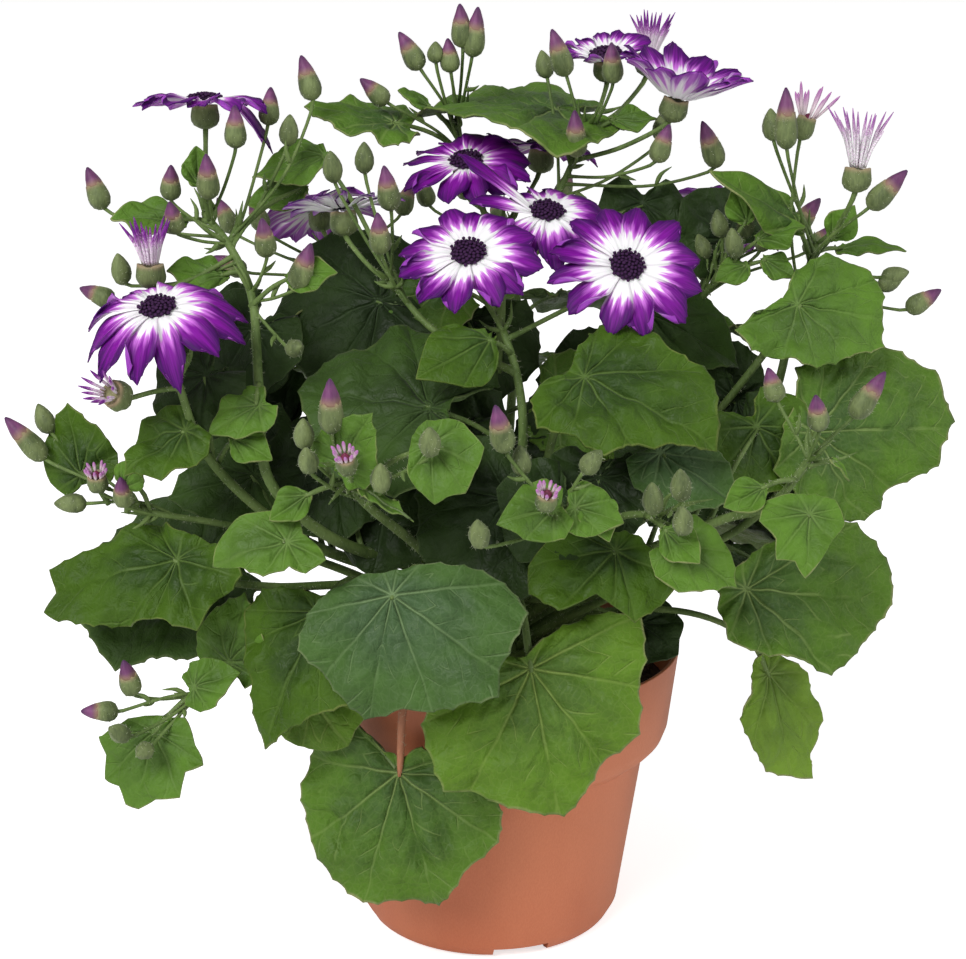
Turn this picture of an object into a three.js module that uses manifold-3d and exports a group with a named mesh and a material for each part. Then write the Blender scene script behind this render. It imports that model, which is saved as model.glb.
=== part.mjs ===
// Florist cineraria (Pericallis x hybrida) growing in its plastic nursery pot.
// Millimetres, +Z up. The origin is the middle of the pot's base, and -Y is the front.
// The plant is one crown in the potting soil. Long-stalked leaves and flowering stems rise
// from it. Every flowering stem is one piece with its own leaves, stalks, buds and the green
// cups under its open flowers. A flower's ray petals and its eye are pieces of their own.

import * as THREE from 'three';
import { mergeVertices } from 'three/addons/utils/BufferGeometryUtils.js';
import Module from 'manifold-3d';

const wasm = await Module();
wasm.setup();

// ---------------------------------------------------------------- driving dimensions

const CLEARANCE = 0.35;          // gap kept between two pieces that touch
const LEAF_THICKNESS = 0.8;
const PETAL_THICKNESS = 0.7;

const POT = {
  height: 99,
  rimRadius: 65.3,
  bandRadius: 62,                // at the lower edge of the collar
  bandHeight: 27,
  shoulderRadius: 58.6,          // the slope under the collar
  shoulderDrop: 6,
  neckRadius: 53.8,
  neckDrop: 10,
  footRadius: 45.5,
  footHeight: 6,
  baseRadius: 43,
  baseEdge: 5,
  wall: 1.4,
  floor: 1.8,
  sides: 28,
  notches: 4,                    // drainage notches under the bottom edge
  notchWidth: 19,
  notchDepth: 8,
  notchHeight: 2.2,
  firstNotch: -76,               // degrees, just right of the front
  holeRadius: 3.5,
  holeCircle: 29,
};

const SOIL = {
  edgeHeight: 85,
  moundHeight: 4,
  slopeRadius: 44,
  topRadius: 28,
  lump: 1.3,
};
const CROWN = { radius: 13, bottom: 79, shoulder: 100, neckRadius: 8, top: 120, sides: 12 };

const LEAF_STALK = { radii: [1.8, 1.2], tipRadius: 0.35, steps: 6, sides: 3 };
const LEAF_TAIL = { halfWidth: 0.9, shoulder: 2.4, spread: 34, shortest: 3 };
const STEM = { radii: [3, 1.8], branchRadii: [1.7, 1.4], steps: 7, sides: 4 };

// The thin stalks of buds and flowers: how far apart they leave the stem, and their bend.
const STALK = { spacing: 2.8, bendAt: 0.55, sag: 0.16, rise: 0.08 };
const BUD = { radius: 3.9, length: 15, widestAt: 0.34, tipShare: 0.12, stalkRadius: 0.9, sides: 3 };
const CUP = { radius: 4.7, length: 8, widestAt: 0.4, rimShare: 0.9, stalkRadius: 1.2, sides: 5 };
const EYE = { radius: 5.8, height: 3.2, sides: 8 };
const RAY = {
  petals: 12,
  width: 8.6,
  root: 5.2,
  tile: 0.2,                     // sideways tilt of each ray
  uneven: 0.05,                  // share by which the rays differ in length
  stations: [[0.5, 1], [0.96, 0.5]],     // share of length, share of width
};

const GREEN = '#4d7334';
const PALE_GREEN = '#7a9455';
const PURPLE = '#6f1fa8';
const EYE_PURPLE = '#2c0f3d';

// ---------------------------------------------------------------- solids

function material(color, roughness) {
  return new THREE.MeshStandardMaterial({ color, roughness, metalness: 0 });
}

function solidOf(geometry) {
  const bare = geometry.clone();
  bare.deleteAttribute('normal');
  bare.deleteAttribute('uv');
  const merged = mergeVertices(bare, 1e-4);
  return new wasm.Manifold(new wasm.Mesh({
    numProp: 3,
    vertProperties: new Float32Array(merged.attributes.position.array),
    triVerts: new Uint32Array(merged.index.array),
  }));
}

function meshOf(name, solid, color, roughness) {
  const raw = solid.getMesh();
  const geometry = new THREE.BufferGeometry();
  geometry.setAttribute('position', new THREE.BufferAttribute(raw.vertProperties, 3));
  geometry.setIndex(new THREE.BufferAttribute(raw.triVerts, 1));
  geometry.computeVertexNormals();
  const mesh = new THREE.Mesh(geometry, material(color, roughness));
  mesh.name = name;
  return mesh;
}

function fuse(solids) {
  return solids.reduce((whole, next) => whole.add(next));
}

const vec = (p) => new THREE.Vector3(p[0], p[1], p[2]);

// A frame at a point: x along `ahead`, z as near to `face` as a right angle allows.
function frameAt(origin, ahead, face) {
  const x = ahead.clone().normalize();
  const z = face.clone().addScaledVector(x, -face.dot(x)).normalize();
  const y = new THREE.Vector3().crossVectors(z, x);
  return new THREE.Matrix4().makeBasis(x, y, z).setPosition(origin);
}

// The frame of a bud or a flower: z along its axis.
function frameAlong(origin, axis) {
  const side = Math.abs(axis.z) > 0.9 * axis.length() ? [1, 0, 0] : [0, 0, 1];
  const x = new THREE.Vector3().crossVectors(vec(side), axis);
  return frameAt(origin, x, axis);
}

// A thin closed sheet: the faces on top, the same faces underneath and a wall round the rim.
function sheet(top, bottom, faces, rim) {
  const count = top.length;
  const index = [];
  for (const [a, b, c] of faces) {
    index.push(a, b, c, count + a, count + c, count + b);
  }
  rim.forEach((a, i) => {
    const b = rim[(i + 1) % rim.length];
    index.push(a, count + a, count + b, a, count + b, b);
  });
  const geometry = new THREE.BufferGeometry();
  geometry.setFromPoints([...top, ...bottom]);
  geometry.setIndex(index);
  return solidOf(geometry);
}

// A path that stops only at its given stations, so that each can have its own thickness.
class StationPath extends THREE.Curve {
  constructor(stations) {
    super();
    this.stations = stations;
  }

  getPointAt(share) {
    return this.stations[Math.round(share * (this.stations.length - 1))].clone();
  }

  getTangentAt(share) {
    const last = this.stations.length - 1;
    const i = Math.round(share * last);
    const before = this.stations[Math.max(i - 1, 0)];
    return this.stations[Math.min(i + 1, last)].clone().sub(before).normalize();
  }
}

// A round form along its stations, with a radius at each of them.
function swept(stations, radii, sides) {
  const corners = [...Array(sides).keys()].map((i) => {
    const angle = (i / sides) * 2 * Math.PI;
    return new THREE.Vector2(Math.cos(angle), Math.sin(angle));
  });
  const geometry = new THREE.ExtrudeGeometry(new THREE.Shape(corners), {
    steps: stations.length - 1,
    extrudePath: new StationPath(stations),
    bevelEnabled: false,
  });
  const position = geometry.attributes.position;
  const point = new THREE.Vector3();
  for (let i = 0; i < position.count; i += 1) {
    point.fromBufferAttribute(position, i);
    const distances = stations.map((station) => station.distanceTo(point));
    const nearest = distances.indexOf(Math.min(...distances));
    point.sub(stations[nearest]).multiplyScalar(radii[nearest]).add(stations[nearest]);
    position.setXYZ(i, point.x, point.y, point.z);
  }
  return solidOf(geometry);
}

// A stalk along a smooth curve through its points, thinning from one radius to the other.
function stalk(points, startRadius, endRadius, steps, sides, lastRadius = endRadius) {
  const stations = new THREE.CatmullRomCurve3(points, false, 'centripetal').getSpacedPoints(steps);
  const radii = stations.map((_, i) => startRadius + (endRadius - startRadius) * (i / steps));
  radii[steps] = lastRadius;
  return swept(stations, radii, sides);
}

// A turned form on an axis: profile points are [radius, height] along the axis.
function turned(profile, sides, frame) {
  const points = profile.map(([radius, height]) => new THREE.Vector2(radius, height));
  const geometry = new THREE.LatheGeometry(points, sides);
  geometry.rotateX(Math.PI / 2);
  geometry.applyMatrix4(frame);
  return solidOf(geometry);
}

// ---------------------------------------------------------------- leaves

// Leaf outlines are corners [degrees from the tip, distance from the leaf stalk]. A broad
// leaf has a toothed, kidney-shaped outline with a notch where its stalk joins. A bract is
// a narrow leaf. Both are given as shares of the length to the tip.
const BROAD = [
  [-168, 0.16], [-142, 0.58], [-112, 0.74], [-90, 0.76], [-66, 0.90], [-44, 0.84], [-20, 0.94],
  [0, 1], [18, 0.88], [40, 0.93], [62, 0.83], [86, 0.84], [110, 0.70], [140, 0.60], [167, 0.15],
];
const STEM_LEAF = [
  [-130, 0.4], [-92, 0.52], [-56, 0.66], [-30, 0.72], [0, 1], [30, 0.76], [56, 0.62], [92, 0.54],
  [130, 0.38],
];
const LANCE = [
  [-100, 0.16], [-32, 0.42], [-12, 0.75], [0, 1], [12, 0.75], [32, 0.42], [100, 0.16],
];
const BRACT = [[-110, 0.12], [-30, 0.3], [0, 1], [30, 0.3], [110, 0.12]];

function blade(leaf) {
  const { at, tip, face, outline = BROAD, droop = 0.12, curl = 0.1, wave = 0.05, rings = 2 } = leaf;
  const length = vec(tip).distanceTo(vec(at));
  const { scale = outline.some(([, radius]) => radius > 2) ? 1 : length } = leaf;
  const frame = frameAt(vec(at), vec(tip).sub(vec(at)), vec(face));
  const under = new THREE.Vector3().setFromMatrixColumn(frame, 2).multiplyScalar(-LEAF_THICKNESS);
  const top = [new THREE.Vector3(0, 0, 0)];
  for (let ring = 1; ring <= rings; ring += 1) {
    for (const [degrees, radius, rise] of outline) {
      const angle = THREE.MathUtils.degToRad(degrees);
      const reach = radius * scale * (ring / rings);
      const x = reach * Math.cos(angle);
      const y = reach * Math.sin(angle);
      const ripple = wave * (reach / length) ** 2 * Math.sin(3 * angle + at[0] + at[1]);
      const sag = droop * (x / length) ** 2 + curl * (y / length) ** 2;
      top.push(new THREE.Vector3(x, y, length * (rise ?? ripple - sag)));
    }
  }
  top.forEach((point) => point.applyMatrix4(frame));
  const bottom = top.map((point) => point.clone().add(under));
  const spokes = outline.length;
  const faces = [];
  for (let i = 0; i < spokes; i += 1) {
    const next = (i + 1) % spokes;
    faces.push([0, 1 + i, 1 + next]);
    for (let ring = 1; ring < rings; ring += 1) {
      const inner = 1 + (ring - 1) * spokes;
      const outer = inner + spokes;
      faces.push([inner + i, outer + i, outer + next], [inner + i, outer + next, inner + next]);
    }
  }
  const rim = outline.map((corner, i) => 1 + (rings - 1) * spokes + i);
  return sheet(top, bottom, faces, rim);
}

// What grows from the crown starts inside it, at its own height and towards its first point.
function crownPlace(towards, root) {
  const reach = Math.hypot(towards[0], towards[1]);
  const inside = 4;
  return new THREE.Vector3((towards[0] / reach) * inside, (towards[1] / reach) * inside, root);
}

// A leaf stalk leaves its parent at `from`, follows `via` and joins the blade at its notch.
function leafWithStalk(leaf) {
  const { at, tip, face, from, via = [], thick = LEAF_STALK.radii } = leaf;
  const { tipRadius, steps, sides } = LEAF_STALK;
  const frame = frameAt(vec(at), vec(tip).sub(vec(at)), vec(face));
  const join = new THREE.Vector3(1, 0, -LEAF_THICKNESS / 2).applyMatrix4(frame);
  const points = [vec(from), ...via.map(vec), join];
  return fuse([blade(leaf), stalk(points, ...thick, steps, sides, tipRadius)]);
}

// A leaf on a stem has a short flat stalk: two more corners of its own outline that reach
// back into the stem.
function stemLeaf(leaf) {
  const { at, tip, face, from, outline = STEM_LEAF } = leaf;
  const { halfWidth, shoulder, spread, shortest } = LEAF_TAIL;
  const length = vec(tip).distanceTo(vec(at));
  const scale = outline.some(([, radius]) => radius > 2) ? 1 : length;
  const frame = frameAt(vec(at), vec(tip).sub(vec(at)), vec(face));
  const foot = vec(from).applyMatrix4(frame.clone().invert());
  const back = THREE.MathUtils.radToDeg(Math.atan2(foot.y, foot.x));
  const distance = Math.max(Math.hypot(foot.x, foot.y), shortest);
  const half = THREE.MathUtils.radToDeg(Math.asin(halfWidth / distance));
  const tail = [
    [back - spread, shoulder / scale],
    [back - half, distance / scale, foot.z / length],
    [back + half, distance / scale, foot.z / length],
    [back + spread, shoulder / scale],
  ];
  const turned = ([degrees, ...rest]) => [((degrees + 540) % 360) - 180, ...rest];
  const awayFromTail = ([degrees]) => Math.abs(turned([degrees - back])[0]) > spread + 8;
  const corners = [...outline.filter(awayFromTail), ...tail.map(turned)];
  corners.sort((a, b) => a[0] - b[0]);
  return blade({ ...leaf, outline: corners, scale, rings: 1 });
}

// Leaves that rise from the crown on long stalks, each a piece of its own.
const CROWN_LEAVES = [
  {
    name: 'leaf_front_right', root: 94, at: [12, -84, 120], tip: [21, -97, 76], face: [0.08, -0.95, 0.3],
    via: [[4, -40, 124], [9, -70, 136]],
    outline: [
      [-170, 4], [-117, 12], [-95, 26], [-74, 37], [-47, 45], [-37, 41], [-11, 43], [2, 46],
      [13, 41], [27, 37], [48, 39], [70, 34], [93, 36], [106, 37], [122, 24], [145, 10],
    ],
  },
  {
    name: 'leaf_front_left', root: 95, at: [-29, -92, 146], tip: [-36, -106, 114], face: [-0.1, -0.9, 0.42],
    via: [[-8, -38, 114], [-22, -72, 148]],
    outline: [
      [-150, 7], [-106, 12], [-83, 19], [-67, 26], [-49, 32], [-29, 31], [-3, 37], [17, 33],
      [31, 36], [58, 43], [66, 38], [94, 40], [108, 33], [124, 23], [150, 12], [172, 8],
    ],
  },
  {
    name: 'leaf_pot_left', root: 88, at: [-29, -68, 79], tip: [-18, -77, 37], face: [-0.22, -0.96, 0.15],
    via: [[-14, -38, 108], [-26, -66, 106]], droop: 0.04,
    outline: [
      [-158, 8], [-153, 23], [-133, 29], [-109, 31], [-86, 35], [-65, 39], [-46, 42], [-30, 44],
      [-14, 42], [1, 45], [22, 37], [42, 38], [57, 35], [75, 30], [95, 18], [125, 12], [150, 5],
    ],
  },
  {
    name: 'leaf_low_left', root: 94, at: [-53, -72, 134], tip: [-72, -79, 92], face: [-0.42, -0.85, 0.32],
    via: [[-22, -34, 118], [-44, -60, 140]],
    outline: [
      [-165, 5], [-112, 10], [-85, 21], [-65, 26], [-43, 29], [-23, 31], [-13, 40], [0, 47],
      [10, 38], [28, 31], [46, 30], [68, 28], [95, 21], [138, 11],
    ],
  },
  {
    name: 'leaf_left', root: 99, at: [-97, -60, 147], tip: [-139, -53, 135], face: [-0.3, -0.75, 0.59],
    via: [[-34, -26, 126], [-70, -48, 134], [-88, -57, 140]], droop: 0.08,
    outline: [
      [-159, 11], [-113, 9], [-62, 17], [-38, 24], [-18, 34], [-9, 45], [1, 43], [10, 46],
      [17, 42], [44, 25], [61, 20], [100, 24], [116, 22], [130, 20], [154, 24], [172, 20],
    ],
  },
  {
    name: 'leaf_left_under', root: 94, at: [-98, -20, 134], tip: [-143, -26, 120], face: [-0.4, -0.5, 0.77],
    via: [[-34, -10, 120], [-76, -20, 138]],
  },
  {
    name: 'leaf_centre_right', root: 108, at: [28, -62, 205], tip: [43, -80, 187], face: [0.1, -0.66, 0.74],
    via: [[10, -14, 130], [22, -44, 190]], droop: 0.06, curl: 0.06,
    outline: [
      [-165, 5], [-122, 7], [-103, 14], [-91, 19], [-68, 24], [-43, 22], [-20, 28], [0, 27],
      [22, 35], [34, 45], [53, 41], [71, 38], [85, 28], [110, 28], [135, 23], [157, 11],
    ],
  },
  {
    name: 'leaf_upper_right', root: 101, at: [99, -16, 219], tip: [129, -11, 213], face: [0.25, -0.8, 0.54],
    via: [[30, -7, 124], [82, -12, 192]],
    outline: [
      [-167, 10], [-150, 24], [-129, 25], [-103, 20], [-70, 22], [-38, 24], [-14, 33], [5, 30],
      [27, 33], [43, 28], [65, 23], [92, 13], [125, 6], [160, 5],
    ],
  },
  {
    name: 'leaf_right', root: 96, at: [104, -26, 179], tip: [156, -5, 176], face: [0.35, -0.83, 0.43],
    via: [[32, -13, 118], [86, -30, 152]], droop: 0.06,
    outline: [
      [-171, 13], [-144, 20], [-111, 25], [-81, 29], [-65, 33], [-34, 34], [-17, 46], [-9, 49],
      [2, 57], [13, 55], [21, 56], [41, 44], [68, 29], [98, 22], [130, 10],
    ],
  },
  {
    name: 'leaf_low_right', root: 93, at: [80, -56, 136], tip: [129, -48, 130], face: [0.2, -0.8, 0.56],
    via: [[30, -22, 117], [64, -44, 138]], droop: 0.08,
    outline: [
      [-170, 10], [-145, 11], [-111, 17], [-89, 20], [-53, 27], [-41, 38], [-19, 42], [-1, 50],
      [17, 52], [33, 46], [44, 34], [65, 18], [100, 8], [150, 9],
    ],
  },
  {
    name: 'leaf_hanging_right', root: 90, at: [93, -26, 96], tip: [104, -30, 58], face: [0.3, -0.93, 0.2],
    via: [[30, -14, 112], [66, -24, 117], [86, -26, 108]], thick: [1.5, 0.9],
    outline: [
      [-163, 8], [-100, 6], [-69, 8], [-50, 18], [-27, 26], [-15, 34], [2, 39], [11, 43],
      [15, 34], [26, 30], [44, 22], [73, 14], [118, 8], [160, 7],
    ],
  },
  {
    name: 'leaf_centre_low', root: 92, at: [37, -80, 156], tip: [19, -93, 141], face: [0.1, -0.82, 0.56],
    via: [[22, -30, 108], [46, -60, 130]],
    outline: [
      [-150, 6], [-94, 8], [-71, 18], [-53, 21], [-38, 26], [-20, 29], [0, 26], [8, 20],
      [18, 15], [42, 17], [58, 22], [84, 21], [109, 21], [124, 16], [146, 10], [175, 8],
    ],
  },
  {
    name: 'leaf_back_left', root: 94, at: [-66, 60, 134], tip: [-106, 86, 112], face: [-0.5, 0.5, 0.7],
    via: [[-26, 24, 122], [-52, 48, 142]],
  },
  {
    name: 'leaf_back', root: 90, at: [2, 78, 110], tip: [6, 114, 82], face: [0.05, 0.72, 0.7],
    via: [[1, 34, 112], [2, 62, 122]],
  },
  {
    name: 'leaf_back_right', root: 94, at: [68, 58, 132], tip: [108, 84, 110], face: [0.5, 0.55, 0.66],
    via: [[28, 22, 122], [54, 46, 142]],
  },
  {
    name: 'leaf_right_rear', root: 96, at: [92, 14, 124], tip: [140, 24, 110], face: [0.5, 0.15, 0.85],
    via: [[34, 8, 116], [72, 12, 131]],
  },
];

// ---------------------------------------------------------------- flowering stems

// Each stem runs along `path` from the crown. A spray is a fork, and the thin stalks that
// spread from it carry buds [foot, tip] and the cups of open flowers [foot, axis].
const STEMS = [
  {
    name: 'stem_upper_left',
    root: 112,
    path: [[-20, -22, 130], [-52, -50, 152], [-68, -58, 172], [-71, -50, 198], [-74, -38, 226],
      [-82, -28, 240], [-90, -20, 248]],
    sprays: [
      {
        fork: [-90, -20, 248],
        flowers: ['flower_top_left'],
        buds: [[[-123, -14, 249], [-128, -12, 262]], [[-100, -24, 253], [-99, -26, 264]],
          [[-87, -30, 254], [-87, -33, 268]], [[-79, -24, 269], [-79, -24, 282]]],
      },
      {
        fork: [-82, -28, 240],
        flowers: ['quilled_left'],
        buds: [[[-114, -34, 228], [-115, -36, 238]], [[-118, -30, 222], [-129, -28, 226]],
          [[-65, -4, 268], [-64, -4, 278]], [[-57, 4, 282], [-61, 6, 296]]],
      },
      {
        fork: [-74, -38, 226],
        buds: [[[-59, -48, 229], [-54, -50, 243]], [[-68, -44, 238], [-69, -46, 250]]],
      },
    ],
    leaves: [
      { from: [-88, -22, 246], at: [-97, -18, 246], tip: [-119, -22, 250], face: [-0.2, -0.5, 0.8] },
      { from: [-77, -34, 232], at: [-82, -30, 233], tip: [-100, -32, 236], face: [-0.2, -0.5, 0.8] },
      { from: [-61, -55, 163], at: [-59, -94, 163], tip: [-82, -94, 157], face: [-0.15, -0.8, 0.58],
        outline: [[-166, 5], [-119, 9], [-67, 12], [-43, 17], [-22, 20], [0, 24], [10, 17],
          [42, 12], [87, 8], [108, 11], [141, 13], [160, 9]] },
      { from: [-71, -50, 200], at: [-70, -60, 196], tip: [-85, -66, 189], face: [-0.1, -0.6, 0.8] },
    ],
  },
  {
    name: 'stem_left',
    root: 107,
    path: [[-28, -10, 124], [-58, -34, 144], [-76, -46, 162], [-88, -58, 182], [-94, -62, 204]],
    sprays: [
      { fork: [-94, -62, 204], buds: [], flowers: ['flower_left', 'quilled_low_left'] },
      {
        fork: [-58, -34, 144],
        via: [[-84, -46, 154], [-105, -54, 160]],
        buds: [[[-139, -46, 175], [-151, -44, 188]], [[-138, -40, 182], [-142, -38, 191]],
          [[-120, -58, 168], [-120, -62, 178]], [[-125, -54, 163], [-135, -54, 163]]],
      },
    ],
    leaves: [
      { from: [-88, -58, 182], at: [-92, -64, 189], tip: [-110, -72, 178], face: [-0.3, -0.7, 0.6] },
      { from: [-118, -54, 163], at: [-128, -46, 170], tip: [-133, -42, 192], face: [-0.3, -0.9, 0.3] },
      { from: [-66, -39, 150], at: [-76, -30, 166], tip: [-104, -34, 160], face: [-0.1, -0.8, 0.55] },
    ],
  },
  {
    name: 'stem_centre',
    root: 112,
    path: [[2, -13, 130], [8, -38, 160], [10, -48, 186], [8, -44, 202], [4, -38, 214]],
    sprays: [
      { fork: [4, -38, 214], buds: [], flowers: ['flower_front_right', 'flower_front_left'] },
      {
        fork: [8, -44, 202],
        via: [[-18, -30, 213], [-32, -20, 227]],
        flowers: ['flower_pale'],
        buds: [[[-34, -30, 237], [-35, -32, 250]], [[-31, -26, 250], [-33, -28, 264]]],
      },
    ],
    leaves: [
      { from: [6, -42, 208], at: [0, -50, 214], tip: [-22, -64, 206], face: [-0.2, -0.85, 0.5] },
      { from: [9, -44, 176], at: [-19, -54, 194], tip: [-60, -46, 198], face: [-0.05, -0.6, 0.8],
        outline: BROAD },
    ],
  },
  {
    name: 'stem_top',
    root: 118,
    path: [[0, 4, 132], [2, 8, 180], [4, 10, 220], [4, 14, 240]],
    sprays: [
      {
        fork: [4, 14, 240],
        buds: [],
        flowers: ['flower_middle', 'flower_upper_middle', 'flower_rear_middle'],
      },
      {
        fork: [4, 11, 228],
        via: [[-4, 34, 248], [-12, 36, 272]],
        buds: [[[-23, 20, 291], [-30, 20, 303]], [[-13, 20, 290], [-14, 20, 301]],
          [[-9, 20, 298], [-10, 20, 312]], [[-6, 20, 295], [-4, 20, 311]],
          [[-34, 20, 280], [-43, 20, 288]]],
      },
      {
        fork: [4, 10, 220],
        via: [[20, 12, 246], [32, 14, 272]],
        flowers: ['flower_top_right', 'flower_top', 'quilled_top'],
        buds: [[[25, 16, 289], [20, 16, 304]], [[40, 10, 287], [39, 8, 300]],
          [[28, 2, 264], [27, 0, 279]], [[53, -6, 263], [57, -6, 275]],
          [[75, 10, 260], [69, 8, 275]]],
      },
    ],
    leaves: [
      { from: [27, 13, 260], at: [22, 28, 278], tip: [-24, 24, 283], face: [0, -0.25, 0.97],
        outline: BROAD },
      { from: [-8, 35, 262], at: [-31, 20, 274], tip: [-61, 16, 281], face: [0, -0.3, 0.95] },
      { from: [1, 7, 168], at: [-16, -2, 178], tip: [-54, -12, 166], face: [-0.05, -0.7, 0.7],
        outline: BROAD },
      { from: [2, 8, 176], at: [22, -10, 186], tip: [58, -16, 178], face: [0.05, -0.8, 0.6] },
      { from: [3, 10, 212], at: [-14, 6, 222], tip: [-48, 4, 214], face: [-0.1, -0.7, 0.7] },
    ],
  },
  {
    name: 'stem_right',
    root: 107,
    path: [[24, 1, 122], [62, -4, 152], [92, -2, 180], [101, 6, 208], [109, 14, 234]],
    sprays: [
      {
        fork: [109, 14, 234],
        flowers: ['quilled_right'],
        buds: [[[93, -16, 268], [92, -16, 287]], [[90, -8, 270], [89, -6, 280]],
          [[119, -20, 250], [130, -22, 262]], [[130, 6, 224], [139, 6, 226]],
          [[139, 6, 213], [150, 6, 220]]],
      },
    ],
    leaves: [
      { from: [107, 12, 229], at: [101, 0, 242], tip: [72, -10, 262], face: [-0.1, -0.7, 0.7],
        outline: LANCE },
      { from: [108, 13, 231], at: [118, 20, 232], tip: [140, 17, 235], face: [0.1, -0.4, 0.9] },
      { from: [78, -3, 166], at: [82, -12, 172], tip: [104, -14, 160], face: [0, -0.8, 0.6] },
    ],
  },
  {
    name: 'stem_mid_right',
    root: 114,
    path: [[16, 4, 128], [42, 8, 172], [62, 8, 206], [76, 6, 224]],
    sprays: [
      {
        fork: [76, 6, 224],
        buds: [[[76, 2, 238], [74, 2, 247]], [[84, 6, 237], [85, 8, 246]],
          [[80, -4, 232], [78, -6, 242]]],
      },
    ],
    leaves: [
      { from: [56, 8, 196], at: [52, -4, 214], tip: [84, -8, 200], face: [0.2, -0.7, 0.6] },
      { from: [48, 8, 182], at: [60, 10, 190], tip: [90, 10, 178], face: [0.1, -0.7, 0.7] },
    ],
  },
  {
    name: 'stem_low_right',
    root: 100,
    path: [[18, -17, 118], [44, -44, 142], [70, -62, 160], [84, -72, 168], [94, -74, 182]],
    sprays: [
      {
        fork: [94, -74, 182],
        buds: [[[108, -66, 193], [117, -66, 207]], [[96, -78, 192], [94, -80, 203]],
          [[86, -62, 197], [83, -60, 207]]],
      },
    ],
    leaves: [
      { from: [86, -72, 170], at: [93, -86, 169], tip: [91, -97, 153], face: [0.1, -0.85, 0.52],
        outline: [[-170, 6], [-131, 8], [-100, 14], [-76, 15], [-47, 13], [-31, 17], [-13, 15],
          [0, 19], [16, 14], [44, 10], [85, 11], [125, 9]] },
      { from: [62, -56, 154], at: [52, -56, 180], tip: [76, -64, 166], face: [0.15, -0.75, 0.65] },
      { from: [94, -74, 180], at: [101, -76, 183], tip: [107, -78, 178], face: [0, -0.5, 0.9],
        outline: BRACT },
    ],
  },
  {
    name: 'stem_front',
    root: 105,
    path: [[10, -20, 121], [24, -52, 142], [34, -64, 158], [30, -78, 166], [20, -92, 170]],
    sprays: [
      {
        fork: [20, -92, 170],
        buds: [[[4, -96, 190], [1, -98, 204]], [[26, -96, 184], [31, -98, 191]],
          [[15, -103, 175], [16, -107, 184]], [[-3, -106, 165], [-4, -110, 174]]],
      },
      {
        fork: [34, -64, 158],
        via: [[40, -71, 164], [50, -80, 167]],
        buds: [[[47, -90, 170], [46, -92, 180]], [[55, -90, 174], [54, -92, 184]]],
      },
    ],
    leaves: [
      { from: [22, -90, 170], at: [18, -98, 174], tip: [2, -104, 172], face: [-0.1, -0.85, 0.5] },
      { from: [24, -88, 170], at: [24, -96, 174], tip: [38, -98, 170], face: [0.1, -0.85, 0.5] },
      { from: [46, -76, 166], at: [54, -88, 160], tip: [72, -94, 150], face: [0.1, -0.8, 0.6] },
    ],
  },
  {
    name: 'stem_front_left',
    root: 106,
    path: [[-7, -24, 122], [-22, -52, 148], [-36, -70, 166], [-42, -86, 178]],
    sprays: [
      {
        fork: [-42, -86, 178],
        buds: [[[-53, -96, 191], [-53, -97, 200]], [[-45, -98, 196], [-45, -100, 212]],
          [[-40, -104, 186], [-41, -109, 195]], [[-31, -102, 180], [-31, -105, 189]],
          [[-17, -108, 192], [-17, -112, 201]]],
      },
    ],
    leaves: [
      { from: [-38, -80, 176], at: [-17, -102, 194], tip: [-16, -112, 178], face: [-0.05, -0.9, 0.42],
        outline: [[-174, 7], [-136, 6], [-95, 6], [-56, 8], [-38, 11], [-18, 14], [0, 17], [13, 16],
          [32, 17], [59, 15], [83, 15], [120, 11], [150, 8]] },
      { from: [-42, -86, 180], at: [-43, -96, 186], tip: [-35, -104, 202], face: [-0.2, -0.9, 0.3] },
      { from: [-42, -86, 178], at: [-36, -98, 180], tip: [-22, -106, 174], face: [0, -0.6, 0.8],
        outline: BRACT },
    ],
  },
  {
    name: 'stem_low_left',
    root: 91,
    path: [[-24, -20, 112], [-54, -48, 118], [-76, -56, 110], [-94, -66, 104]],
    sprays: [
      {
        fork: [-94, -66, 104],
        buds: [[[-110, -72, 107], [-112, -74, 119]], [[-114, -76, 103], [-125, -78, 104]],
          [[-110, -82, 97], [-115, -86, 102]]],
      },
    ],
    leaves: [
      { from: [-94, -66, 104], at: [-104, -72, 95], tip: [-111, -80, 71], face: [-0.25, -0.88, 0.4],
        outline: [[-150, 5], [-96, 10], [-69, 20], [-51, 19], [-34, 23], [-20, 21], [-9, 25],
          [1, 25], [17, 21], [38, 22], [54, 16], [74, 19], [95, 13], [126, 11], [150, 6]] },
      { from: [-90, -64, 105], at: [-92, -68, 108], tip: [-78, -70, 114], face: [-0.1, -0.8, 0.6] },
      { from: [-76, -56, 110], at: [-82, -60, 113], tip: [-77, -60, 136], face: [-0.3, -0.9, 0.2] },
    ],
  },
  {
    name: 'stem_back_left',
    root: 106,
    path: [[-14, 22, 130], [-34, 44, 170], [-48, 52, 204], [-54, 50, 226]],
    sprays: [
      {
        fork: [-54, 50, 226],
        flowers: ['flower_back_left'],
        buds: [[[-92, 60, 232], [-98, 64, 244]], [[-78, 34, 236], [-82, 32, 248]],
          [[-32, 62, 238], [-28, 66, 250]], [[-86, 44, 220], [-97, 42, 226]]],
      },
    ],
    leaves: [
      { from: [-36, 46, 174], at: [-66, 60, 182], tip: [-102, 82, 172], face: [-0.4, 0.4, 0.82],
        outline: BROAD },
      { from: [-46, 51, 200], at: [-76, 28, 206], tip: [-112, 24, 198], face: [-0.4, 0.1, 0.9],
        outline: BROAD },
      { from: [-40, 47, 186], at: [-42, 31, 208], tip: [-70, 18, 206], face: [-0.1, -0.7, 0.7] },
    ],
  },
  {
    name: 'stem_back',
    root: 108,
    path: [[4, 26, 130], [8, 54, 172], [10, 64, 206], [12, 62, 232]],
    sprays: [
      {
        fork: [12, 62, 232],
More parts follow.
